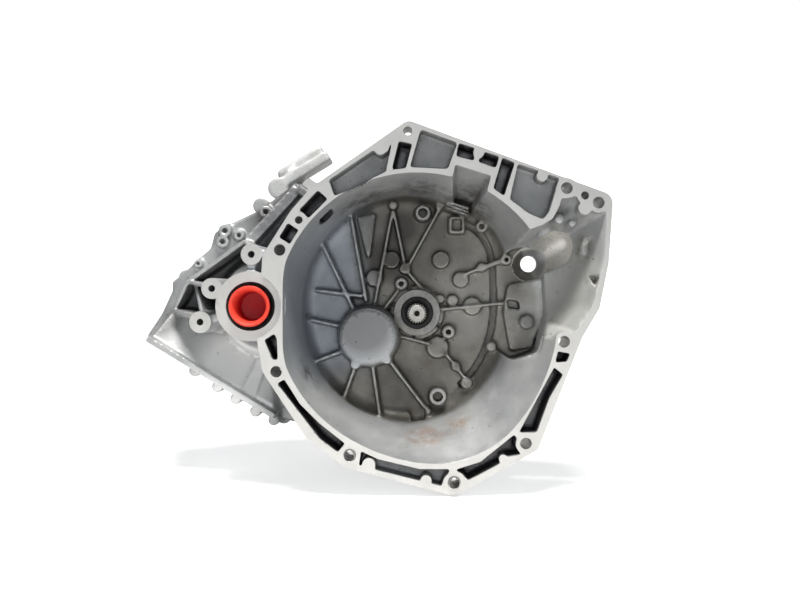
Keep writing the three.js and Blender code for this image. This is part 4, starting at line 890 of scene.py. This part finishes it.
def strips(rows, count, base=0):
    """Faces between closed rows of points, each row of the same count."""
    return [
        (a, a + count, b + count, b)
        for row in range(rows - 1)
        for a, b in ((base + row * count + i, base + row * count + (i + 1) % count)
                     for i in range(count))
    ]


def lathe(profile, centre=(0, 0), count=64):
    """Points and faces turned about the shaft direction from [radius, y] pairs."""
    points = []
    for radius, y in profile:
        for i in range(count):
            angle = 2 * math.pi * i / count
            side, up = radius * math.cos(angle), radius * math.sin(angle)
            points.append((centre[0] + side, y, centre[1] + up))
    return points, strips(len(profile), count)


def turned_piece(name, profile, centre, material, stands_for, count):
    points, faces = lathe(profile, centre, count)
    new_object(name, points, faces, [material], "casing", stands_for)


# ---------------------------------------------------------------- materials
class Nodes:
    """A small helper that builds a material's node tree."""

    def __init__(self, name):
        self.material = bpy.data.materials.new(name)
        self.material.use_nodes = True
        self.tree = self.material.node_tree
        self.shader = self.tree.nodes["Principled BSDF"]

    def new(self, kind, **sockets):
        """A node whose named inputs are set from numbers, colours or other nodes' outputs."""
        node = self.tree.nodes.new("ShaderNode" + kind)
        for socket, value in sockets.items():
            self.feed(value, node, socket)
        return node

    def feed(self, value, node, socket):
        if isinstance(value, (int, float)):
            node.inputs[socket].default_value = value
        elif isinstance(value, tuple):
            node.inputs[socket].default_value = (*value, 1)
        else:
            self.tree.links.new(value, node.inputs[socket])

    def place(self):
        return self.new("TexCoord").outputs["Object"]

    def noise(self, scale, detail=4.0, roughness=0.55):
        node = self.new("TexNoise", Scale=scale, Detail=detail, Roughness=roughness,
                        Vector=self.place())
        return node.outputs["Fac"]

    def ramp(self, source, stops):
        node = self.new("ValToRGB", Fac=source)
        for element, (position, color) in zip(node.color_ramp.elements, stops):
            element.position = position
            element.color = (*color, 1)
        return node.outputs["Color"]

    def levels(self, source, low, high, to_low=0.0, to_high=1.0):
        node = self.new("MapRange", Value=source)
        for name, value in zip(("From Min", "From Max", "To Min", "To Max"),
                               (low, high, to_low, to_high)):
            self.feed(value, node, name)
        return node.outputs["Result"]

    def mix(self, factor, a, b):
        node = self.new("Mix")
        node.data_type = "RGBA"
        for index, value in ((0, factor), (6, a), (7, b)):
            self.feed(value, node, index)
        return node.outputs[2]

    def painted(self, name):
        node = self.new("Attribute")
        node.attribute_name = name
        return node.outputs["Fac"]

    def height_of(self, axis):
        return self.new("SeparateXYZ", Vector=self.place()).outputs[axis]

    def math(self, operation, a, b):
        node = self.new("Math")
        node.operation = operation
        self.feed(a, node, 0)
        self.feed(b, node, 1)
        return node.outputs[0]

    def times(self, a, b):
        return self.math("MULTIPLY", a, b)

    def plus(self, a, b):
        return self.math("ADD", a, b)

    def spot(self, centre, radius, soft=0.5):
        """One inside a ball about a point given in millimetres, falling to zero at its radius."""
        node = self.new("VectorMath")
        node.operation = "DISTANCE"
        self.feed(self.place(), node, 0)
        node.inputs[1].default_value = [c * MM for c in centre]
        return self.levels(node.outputs["Value"], radius * MM * soft, radius * MM, 1.0, 0.0)

    def bump(self, height, strength, distance):
        node = self.new("Bump", Strength=strength, Distance=distance * MM, Height=height)
        self.feed(node.outputs["Normal"], self.shader, "Normal")

    def patches(self, scale, low, high):
        """A slow change between two values, such as of roughness."""
        return self.levels(self.noise(scale, 4, 0.6), 0.3, 0.7, low, high)

    def finish(self, color, roughness, metallic):
        self.feed(color, self.shader, "Base Color")
        self.feed(roughness, self.shader, "Roughness")
        self.feed(metallic, self.shader, "Metallic")
        return self.material


def cast_aluminium():
    """Die-cast skin: fine grain, slow mottling, specks, painted shade in hollows, painted edge
    highlights.
    """
    n = Nodes("cast_aluminium")
    skin = n.ramp(n.noise(16, 5, 0.6), [(0.3, (0.36, 0.37, 0.375)), (0.7, (0.50, 0.505, 0.50))])
    # Painted bluish sky light: the left wall is tinted blue, as if in shade lit only by the sky.
    skin = n.mix(n.times(n.spot((-110, 60, 20), 120, 0.5), 0.6), skin, (0.33, 0.365, 0.42))
    # Painted shade: the bell's floor is painted dark brown where the rim's shadow falls, and
    # bluish on the left as painted sky light.
    floor_shade_mottle = n.noise(24, 6, 0.65)
    brown = n.ramp(floor_shade_mottle, [(0.3, (0.130, 0.122, 0.108)), (0.7, (0.26, 0.25, 0.225))])
    blue = n.ramp(floor_shade_mottle, [(0.3, (0.23, 0.25, 0.28)), (0.7, (0.32, 0.34, 0.37))])
    left = n.times(n.levels(n.height_of("X"), -0.04, -0.09),
                   n.levels(n.height_of("Z"), -0.09, -0.05))
    floor = n.mix(left, brown, blue)
    inside = n.times(n.levels(n.height_of("Y"), 0.070, 0.090), n.spot((2, 98, 4), 152, 0.92))
    ragged = n.levels(n.plus(inside, n.times(n.noise(45, 4, 0.7), 0.5)), 0.55, 0.95)
    color = n.mix(ragged, skin, floor)
    # Painted light: the bay's slope is painted lighter, as if lit from above.
    bay = n.spot((192, 40, 10), 86, 0.5)
    color = n.mix(n.times(bay, 0.85), color, (0.54, 0.54, 0.515))
    # Broad patches of painted light and painted shade.
    for centre, radius, strength, tone in PAINTED_LIGHT_AND_SHADE:
        color = n.mix(n.times(n.spot(centre, radius, 0.55), strength), color, tone)
    # Painted shade: near-black in hollows, weaker in the bay.
    hollow = n.times(n.levels(n.painted("hollow"), 0.56, 0.84), n.levels(bay, 0.0, 1.0, 0.75, 0.2))
    color = n.mix(hollow, color, (0.050, 0.050, 0.060))
    color = n.mix(n.times(n.painted("shade"), 0.93), color, (0.030, 0.029, 0.034))
    # Painted shade: dark lines along crevices round ribs and pads.
    crevice = n.times(n.levels(n.painted("crevice"), 0.57, 0.78),
                      n.levels(n.noise(70, 4, 0.7), 0.2, 0.6))
    color = n.mix(n.times(crevice, 0.62), color, (0.045, 0.040, 0.034))
    # Painted highlights: lighter along convex edges and rib crests.
    edge = n.levels(n.painted("crevice"), 0.45, 0.30)
    color = n.mix(n.times(edge, 0.32), color, (0.62, 0.62, 0.61))
    speck = n.levels(n.noise(230, 2, 0.5), 0.725, 0.75)
    color = n.mix(n.times(speck, 0.8), color, (0.03, 0.028, 0.025))
    # Rust stains, and painted shade on the bell's upper wall and in recesses, in patchy spots.
    for centre, radius, tone in STAINS_AND_SHADE_SPOTS:
        mask = n.times(n.spot(centre, radius, 0.2), n.levels(n.noise(60, 5, 0.7), 0.40, 0.60))
        color = n.mix(mask, color, tone)
    # Painted shade: near-black at the bottom of the small pocket in the flange's upper left.
    color = n.mix(n.spot((-106, 34, 112), 13, 0.8), color, (0.008, 0.008, 0.009))
    grain = n.noise(1500, 3, 0.6)
    n.bump(n.plus(grain, n.times(n.noise(260, 3, 0.6), 1.4)), 0.4, 0.25)
    return n.finish(color, n.patches(40, 0.36, 0.56), 0.55)


# Painted light and shade: broad patches lightened where light falls and darkened where shade
# falls; centre in millimetres, radius, strength, colour.
PAINTED_LIGHT_AND_SHADE = [
    ((-222, 130, -74), 74, 0.9, (0.90, 0.90, 0.89)),
    ((-322, 118, -6), 34, 0.85, (0.17, 0.17, 0.17)),
    ((-62, 58, -16), 46, 0.9, (0.13, 0.13, 0.135)),
    ((-12, 100, 98), 78, 0.6, (0.065, 0.061, 0.055)),
    ((-38, 104, 66), 34, 0.75, (0.04, 0.037, 0.034)),
    ((-18, 104, 104), 26, 0.75, (0.04, 0.037, 0.034)),
    ((66, 98, 14), 58, 0.6, (0.34, 0.33, 0.31)),
    ((-15, 104, -98), 52, 0.5, (0.07, 0.066, 0.06)),
    ((138, 96, 60), 20, 0.9, (0.03, 0.028, 0.025)),
    ((-172, 132, 136), 72, 0.82, (0.115, 0.115, 0.12)),
    ((131, 72, -11), 13, 0.7, (0.13, 0.12, 0.11)),
]
# Patchy darker spots: centre in millimetres, radius, colour. The first two are rust stains; the
# grey ones on the bell's upper wall are painted shade, and the rest darken recesses, partly as
# painted shade.
STAINS_AND_SHADE_SPOTS = [
    ((8, 45, -132), 30, (0.30, 0.15, 0.08)),
    ((42, 55, -122), 24, (0.36, 0.24, 0.15)),
    ((-2, 84, -122), 17, (0.10, 0.07, 0.05)),
    ((-60, 60, 122), 46, (0.09, 0.09, 0.09)),
    ((5, 50, 134), 46, (0.11, 0.11, 0.11)),
    ((60, 50, 122), 40, (0.13, 0.12, 0.11)),
    ((-128, 50, -70), 26, (0.10, 0.10, 0.10)),
    ((0, 84, 0), 38, (0.16, 0.16, 0.165)),
    ((190, 34, 74), 20, (0.12, 0.10, 0.07)),
    ((198, 20, 38), 12, (0.10, 0.085, 0.06)),
    ((-209, 138, -48), 13, (0.02, 0.02, 0.02)),
    ((60, 84, 118), 46, (0.13, 0.125, 0.11)),
]


def milled_aluminium():
    """Face-milled land: bright, with long faint cutter arcs, and darker towards the top as painted
    shade.
    """
    n = Nodes("milled_aluminium")
    mapping = n.new("Mapping", Vector=n.place())
    mapping.inputs["Location"].default_value = (0.24, 0, 0.31)
    swirl = n.new("TexWave", Scale=190, Distortion=1.5, Detail=2, Vector=mapping.outputs[0])
    swirl.wave_type = "RINGS"
    swirl.rings_direction = "Y"
    lines = swirl.outputs["Fac"]
    color = n.ramp(n.noise(22, 4, 0.6), [(0.3, (0.62, 0.61, 0.585)), (0.7, (0.74, 0.73, 0.70))])
    color = n.mix(n.times(lines, 0.12), color, (0.55, 0.54, 0.52))
    # Painted shade: the land is darker towards the top and lighter towards the bottom.
    upper = n.levels(n.height_of("Z"), -0.05, 0.15, 0.0, 0.55)
    color = n.mix(upper, color, (0.32, 0.32, 0.315))
    stain = n.levels(n.noise(48, 5, 0.7), 0.60, 0.72)
    color = n.mix(n.times(stain, 0.35), color, (0.26, 0.24, 0.21))
    n.bump(n.plus(lines, n.noise(700, 2, 0.5)), 0.12, 0.08)
    return n.finish(color, n.patches(70, 0.34, 0.5), 0.72)


def steel(name, dark, light, low=0.22, high=0.4, metallic=0.95, oil=0.3, shaded=None):
    """Machined metal under a film of oil; shaded paints shade on a dark place: spot and strength.
    """
    n = Nodes(name)
    brushed = n.noise(420, 3, 0.6)
    color = n.ramp(brushed, [(0.3, dark), (0.7, light)])
    film = n.levels(n.noise(38, 4, 0.6), 0.5, 0.7)
    color = n.mix(n.times(film, oil), color, (0.10, 0.075, 0.05))
    if shaded:
        color = n.mix(n.times(n.spot(*shaded[0]), shaded[1]), color, (0.012, 0.010, 0.008))
    n.bump(brushed, 0.1, 0.05)
    return n.finish(color, n.patches(55, low, high), metallic)


def moulded(name, dark, light, low, high, grain=900, strength=0.12, inside=None):
    """Moulded plastic or rubber with a fine grain and, for a cup, painted shade darkening its
    inside.
    """
    n = Nodes(name)
    color = n.ramp(n.noise(30, 5, 0.6), [(0.3, dark), (0.75, light)])
    # Painted shade: deeper inside a cup the colour turns darker.
    if inside:
        down = n.levels(n.height_of("Y"), 0.007, 0.034)
        color = n.mix(n.times(down, n.spot((DIFF[0], 30, DIFF[1]), 60, 0.9)), color, inside)
    n.bump(n.noise(grain, 3, 0.6), strength, 0.1)
    n.shader.inputs["Specular IOR Level"].default_value = 0.25
    return n.finish(color, n.patches(80, low, high), 0.0)


CAST = cast_aluminium()
MILLED = milled_aluminium()
STEEL = steel("ground_steel", (0.52, 0.51, 0.49), (0.72, 0.71, 0.69))
# Painted shade darkens the scoop towards its deep end.
TURNED = steel("turned_aluminium", (0.62, 0.61, 0.57), (0.88, 0.86, 0.80), 0.25, 0.38,
               metallic=0.35, shaded=(((143, 82, 62), 36, 0.25), 0.62))
# Painted shade darkens the shaft's centre drilling.
SHAFT = steel("shaft_steel", (0.34, 0.33, 0.31), (0.50, 0.49, 0.46), 0.3, 0.5,
              shaded=(((0, 3, 0), 4.2, 0.9), 1.0))
BEARING = steel("bearing_steel", (0.48, 0.48, 0.48), (0.66, 0.66, 0.66), 0.12, 0.28)
GEARS = steel("gear_steel", (0.30, 0.30, 0.30), (0.44, 0.44, 0.43), 0.28, 0.45)
CASE = steel("case_iron", (0.12, 0.12, 0.12), (0.20, 0.20, 0.20), 0.5, 0.7)
FORGED = steel("forged_steel", (0.26, 0.26, 0.25), (0.38, 0.38, 0.37), 0.35, 0.55)
BRONZE = steel("fork_bronze", (0.42, 0.31, 0.13), (0.58, 0.45, 0.22), 0.3, 0.5)
ZINC = steel("zinc_plate", (0.42, 0.41, 0.38), (0.60, 0.59, 0.55), 0.3, 0.5)
WEIGHT = steel("zinc_coat", (0.40, 0.41, 0.41), (0.56, 0.56, 0.55), 0.42, 0.6, metallic=0.45,
               oil=0.2)
RUBBER = moulded("black_rubber", (0.012, 0.012, 0.014), (0.035, 0.034, 0.034), 0.42, 0.65)
# The plug's inside gets a darker red as painted shade.
RED = moulded("red_plastic", (0.80, 0.055, 0.035), (0.92, 0.085, 0.05), 0.32, 0.46, 500, 0.06,
              (0.46, 0.004, 0.010))
BY_SLOT = {
    "cast_housing": CAST, "fasteners": ZINC, "ground_steel": STEEL, "bearing_steel": BEARING,
    "gear_steel": GEARS, "cast_case": CASE, "forged_steel": FORGED, "fork_brass": BRONZE,
    "seal_rubber": RUBBER, "plug_plastic": RED, "lever_zinc": WEIGHT,
}


def paint_cad_nodes():
    for row in frame["record"]["subparts"]:
        mesh = frame["nodes"][row["node"]].data
        mesh.materials.clear()
        mesh.materials.append(BY_SLOT[row["material_slot"]])


# ---------------------------------------------------------------- pieces
def build_castings():
    lands = [
        (1, 0, INPUT, 0, 400), (1, DIFF_FACE, DIFF, 27, 40), (1, INPUT_BOSS_FRONT, INPUT, 0, 28.6),
        (-1, JOINT, INPUT, 0, 500),
    ]
    lands += [(1, front, tab[:2], 0, 13) for tab, front in zip(TABS, TAB_FRONTS)]
    cast_object("housing", build_housing(), lands, "clutch_housing")
    ends = [(1, JOINT, INPUT, 0, 500), (-1, CASING_BACK, INPUT, 0, 140),
            (-1, DIFF_BOSS_BACK, DIFF, 0, 41)]
    cast_object("casing", build_casing(), ends, "gear_casing")
    cast_object("end_cover", build_cover(), [(1, CASING_BACK, INPUT, 0, 140)], "rear_cover")


def plug(name, face, inward, depth, node):
    """Moulded cup with a rolled rim and a stepped floor."""
    outside = [(0, 0), (17.5, 0), (19.3, -1), (21.0, -4), (21.6, -7)]
    rim = [(21.6, 6), (22.2, 5), (22.8, 4.2), (22.8, 1), (22.4, 0.3), (21.6, 0), (20.6, 0.2),
           (19.6, 1.2), (18.6, 3.2), (17.6, 6), (17.0, 9), (16.6, 12)]
    floor = [(16.2, -8), (15.4, -5.6), (13.6, -5), (0, -5)]
    profile = [(r, depth + y) for r, y in outside] + rim + [(r, depth + y) for r, y in floor]
    turned = [(radius, face + inward * y) for radius, y in profile]
    turned_piece(name, turned, DIFF, RED, node, 96)


def seal(name, centre, outer, inner, y0, y1, node, facing=-1):
    """Rubber-covered ring with a raised lip."""
    front, back = (y0, y1) if facing < 0 else (y1, y0)
    step = 1 if back > front else -1
    lip = inner + (outer - inner) * 0.35
    face = [(outer, 1), (outer - 0.6, 0), (lip + 1.2, 0), (lip + 0.5, 2.2), (lip - 0.4, 2.4),
            (inner + 1.3, 0.6), (inner + 0.5, 0.8), (inner, 2)]
    profile = [(outer, back), *((r, front + down * step) for r, down in face),
               (inner, back), (outer, back)]
    turned_piece(name, profile, centre, RUBBER, node, 96)


def toothed(levels, teeth):
    """Outline of a wheel from one tooth's corners: share of the pitch from its middle, radius."""
    points = []
    for tooth in range(teeth):
        for share, radius in levels:
            angle = 2 * math.pi * (tooth + share) / teeth
            points.append((radius * math.cos(angle), radius * math.sin(angle)))
    return points


def toothed_bar(outline, rings):
    """An outline swept along the shafts through [y, scale] rings, with closed ends."""
    count = len(outline)
    points = [(x * scale, y, z * scale) for y, scale in rings for x, z in outline]
    last = (len(rings) - 1) * count
    ends = [tuple(range(count)), tuple(range(last, last + count))]
    return points, strips(len(rings), count) + ends


def build_input_shaft():
    """Splined nose with a centre drilling, the stepped shaft behind it and its six pinions."""
    half_tooth = [(0.1, 10.9), (0.18, 10.7), (0.3, 9.2)]
    spline = toothed([(-a, r) for a, r in half_tooth[::-1]] + half_tooth, SPLINE_TEETH)
    nose = lathe([(0, 12), (3.1, 11), (3.4, 1.8), (4.6, 0), (8.4, 0), (9.2, 1), (9.2, 66),
                  (10, 68), (10, 357), (0, 357)], INPUT, 132)
    solids = [nose, toothed_bar(spline, [(0.6, 0.88), (2.6, 1), (62, 1), (69, 0.9)])]
    for teeth, front in PINIONS:
        pitch = GEAR_MODULE * teeth / 2
        root, tip = pitch - 1.1 * GEAR_MODULE, pitch + 0.8 * GEAR_MODULE
        half_tooth = [(0.115, tip), (0.22, pitch), (0.33, root)]
        outline = toothed([(-a, r) for a, r in half_tooth[::-1]] + half_tooth, teeth)
        rings = [(front, 0.97), (front + 0.8, 1), (front + 10.2, 1), (front + 11, 0.97)]
        solids.append(toothed_bar(outline, rings))
    points, faces = [], []
    for solid_points, solid_faces in solids:
        offset = len(points)
        points += solid_points
        faces += [tuple(i + offset for i in face) for face in solid_faces]
    new_object("input_shaft_turned", points, faces, [SHAFT], "input_shaft", "input_shaft",
               26)


def build_dowels():
    front = [(6.4, -4.6), (6.1, -5.6), (5.7, -6), (5.4, -5.6)]
    profile = [(5.4, 13.7), (6.4, 13.7), *front, (5.4, 13.7)]
    for i, hole in enumerate(DOWEL_HOLES, 1):
        turned_piece(f"dowel_{i}", profile, hole[:2], STEEL, f"dowel_sleeve_{i}",
                     40)


def hex_bolt(name, centre, radius, start, seat, height, stands_for):
    """Flanged hexagon-head bolt, with a domed flange and a chamfered, dished head."""
    flange = [(1, 0.35), (2.25, 0.35), (2.3, 0.9), (2.1, 1.9), (1.7, 2.6), (1.2, 2.8), (0, 2.8)]
    points, faces = lathe([(0, start), (radius - 0.8, start), (radius, start + 1)]
                          + [(radius * share, seat + up) for share, up in flange],
                          centre, BOLT_SIDES)
    across, top = radius * 1.72, seat + height
    rings = [(1.0, seat + 2.2), (1.0, top + 1.0), (0.90, top + 1.5), (0.62, top + 1.5),
             (0.54, top + 0.9), (0.0, top + 0.9)]
    base = len(points)
    for scale, y in rings:
        for i in range(BOLT_SIDES):
            angle = 2 * math.pi * i / BOLT_SIDES
            flat = across / math.cos((angle + math.pi / 6) % (math.pi / 3) - math.pi / 6)
            reach = min(flat, across * 1.13) if scale == 1.0 else across * 1.04
            side, up = reach * scale * math.cos(angle), reach * scale * math.sin(angle)
            points.append((centre[0] + side, y, centre[1] + up))
    faces += strips(len(rings), BOLT_SIDES, base)
    new_object(name, points, faces, [ZINC], "casing", stands_for, 30)


def build_bolts():
    for i, at in enumerate(JOINT_BOLTS, 1):
        hex_bolt(f"joint_bolt_{i}", at, 4, JOINT - 18, JOINT + 20, 5.2, f"casing_bolt_{i}")
    for i, at in enumerate(COVER_BOLTS, 1):
        hex_bolt(f"end_bolt_{i}", at, 3, CASING_BACK - 14, COVER_BACK, 4.2, f"cover_bolt_{i}")


def leaned(points):
    """Points from the selector's own frame, in millimetres, into the transaxle's."""
    c, s = math.cos(SELECTOR_LEAN), math.sin(SELECTOR_LEAN)
    points = np.asarray(points, float)
    x = points[:, 0] * c + points[:, 2] * s + SELECTOR_EXIT[0]
    z = -points[:, 0] * s + points[:, 2] * c + SELECTOR_EXIT[1]
    return np.stack([x, points[:, 1] + SELECTOR_Y, z], 1)


def lean_casting(low, high, shapes, name, material, rides_on, stands_for):
    """A small casting in the selector's own frame, from (add?, shape, softness) rows."""
    part = Casting(low, high, 1.0)
    for adding, shape, soft in shapes:
        (part.add if adding else part.cut)(shape, soft)
    points, faces = part.surface(adaptivity=0.02)
    new_object(name, leaned(points), faces, [material], rides_on, stands_for,
               CAST_SMOOTH, CAST_CLEANING)


def build_lever():
    """Weighted shift lever: a rounded block with a drum at its end, clamped on the shaft."""
    shapes = [
        (True, box_shape((-20, 60), (-21, 17), (5, 20), 4), 0),
        (True, rod((-23, 9), 14.5, -21, 17, edge=4), 3),
        (True, box_shape((-14, 57), (-12, 22), (17, 32), 5), 2),
        (True, upright((0, 0), 16, 3, 26, 2), 4),
        (False, upright((0, 0), 13, -12, 2, 0), 0),
        (False, upright((0, 0), 8.4, 0, 24.6, 0), 0),
    ]
    lean_casting((-42, -26, -2), (64, 26, 38), shapes, "lever", WEIGHT, "selector",
                 "shift_lever")
    cap = [
        (True, upright((0, 0), 16.6, DUCT_TOP - 14, DUCT_TOP + 1, 1), 0),
        (True, upright((0, 0), 24, DUCT_TOP + 0.3, DUCT_TOP + 6.5, 1.6), 1),
        (False, upright((0, 0), 8.5, DUCT_TOP - 20, DUCT_TOP + 10, 0), 0),
    ]
    lean_casting((-28, -28, -36), (28, 28, -8), cap, "selector_cap", CASE, "casing",
                 "selector_cover")


def build_breather():
    profile = [(0, 92), (4, 92), (4, 111), (6.4, 112), (7, 113), (7, 118), (6, 119.6), (0, 120)]
    points, faces = lathe(profile, count=40)
    standing = [(x + BREATHER[0], z + BREATHER[1], y) for x, y, z in points]
    new_object("vent_cap", standing, faces, [RUBBER], "casing", "breather")


build_castings()
plug("plug_engine_side", 5, 1, 39, "transport_plug_engine_side")
plug("plug_gearbox_side", DIFF_BOSS_BACK + 8, -1, 24, "transport_plug_gearbox_side")
seal("outlet_seal_engine_side", DIFF, 27.1, 22.8, DIFF_FACE + 4, DIFF_FACE + 14,
     "differential_seal_engine_side")
seal("outlet_seal_gearbox_side", DIFF, 27.1, 22.8, DIFF_BOSS_BACK - 13, DIFF_BOSS_BACK - 3,
     "differential_seal_gearbox_side", 1)
seal("shaft_seal", INPUT, 19.3, 10.5, INPUT_BOSS_FRONT + 0.3, FLOOR_FRONT - 0.3, "input_seal")
build_input_shaft()
build_dowels()
build_bolts()
build_lever()
build_breather()
paint_cad_nodes()


# ---------------------------------------------------------------- stage, light and camera
def build_stage():
    """A pale sweep: a floor that curves up into a wall behind the object."""
    low, back, wide, high, bend = -0.2015, 1.9, 3.2, 3.0, 0.7
    section = [(-3.0, low)]
    section += [(back - bend + bend * math.sin(a), low + bend - bend * math.cos(a))
                for a in np.linspace(0, math.pi / 2, 12)]
    section += [(back, high)]
    points = [(x, y, z) for y, z in section for x in (-wide, wide)]
    faces = [(2 * i, 2 * i + 1, 2 * i + 3, 2 * i + 2) for i in range(len(section) - 1)]
    mesh = bpy.data.meshes.new("sweep")
    mesh.from_pydata(points, [], faces)
    mesh.shade_smooth()
    n = Nodes("pale_sweep")
    pale = n.ramp(n.noise(6, 3, 0.5), [(0.3, (0.90, 0.90, 0.90)), (0.7, (0.94, 0.94, 0.94))])
    n.finish(pale, 0.9, 0.0)
    n.shader.inputs["Emission Color"].default_value = (1, 1, 1, 1)
    seen = n.new("LightPath").outputs["Is Camera Ray"]
    n.feed(n.times(seen, 0.62), n.shader, "Emission Strength")
    mesh.materials.append(n.material)
    obj = bpy.data.objects.new("sweep", mesh)
    bpy.context.scene.collection.objects.link(obj)


def area_light(name, at, aim, size, power, color=(1, 1, 1)):
    data = bpy.data.lights.new(name, "AREA")
    data.shape = "RECTANGLE"
    data.size, data.size_y = size
    data.energy = power
    data.color = color
    obj = bpy.data.objects.new(name, data)
    obj.location = at
    obj.rotation_euler = (Vector(aim) - Vector(at)).to_track_quat("-Z", "Y").to_euler()
    bpy.context.scene.collection.objects.link(obj)


def build_light():
    world = bpy.data.worlds.new("studio")
    bpy.context.scene.world = world
    world.use_nodes = True
    tree = world.node_tree
    background = tree.nodes["Background"].inputs
    background["Color"].default_value = (0.86, 0.93, 1.0, 1)
    # The camera sees a paler background than the one that lights the object.
    seen = tree.nodes.new("ShaderNodeLightPath").outputs["Is Camera Ray"]
    strength = tree.nodes.new("ShaderNodeMath")
    strength.operation = "MULTIPLY_ADD"
    strength.inputs[1].default_value = 0.80
    strength.inputs[2].default_value = 0.15
    tree.links.new(seen, strength.inputs[0])
    tree.links.new(strength.outputs[0], background["Strength"])
    area_light("key", (-0.10, -0.44, 1.50), (0.0, 0.05, -0.10), (0.9, 0.2), 46, (1.0, 0.985, 0.96))
    area_light("front", (0.0, -1.7, 0.30), (-0.02, 0.05, 0.0), (1.4, 0.6), 4.5, (0.94, 0.97, 1.0))


def build_camera():
    data = bpy.data.cameras.new("camera")
    data.sensor_width = 36
    data.lens = 36
    data.shift_x = -0.0225
    data.shift_y = 0.004375
    data.clip_start = 0.01
    camera = bpy.data.objects.new("camera", data)
    camera.location = (0.0012, -0.880, 0.0111)
    camera.rotation_euler = (math.pi / 2, 0, 0)
    bpy.context.scene.collection.objects.link(camera)
    bpy.context.scene.camera = camera


build_stage()
build_light()
build_camera()
bpy.context.scene.view_settings.view_transform = "Standard"
bpy.context.view_layer.update()
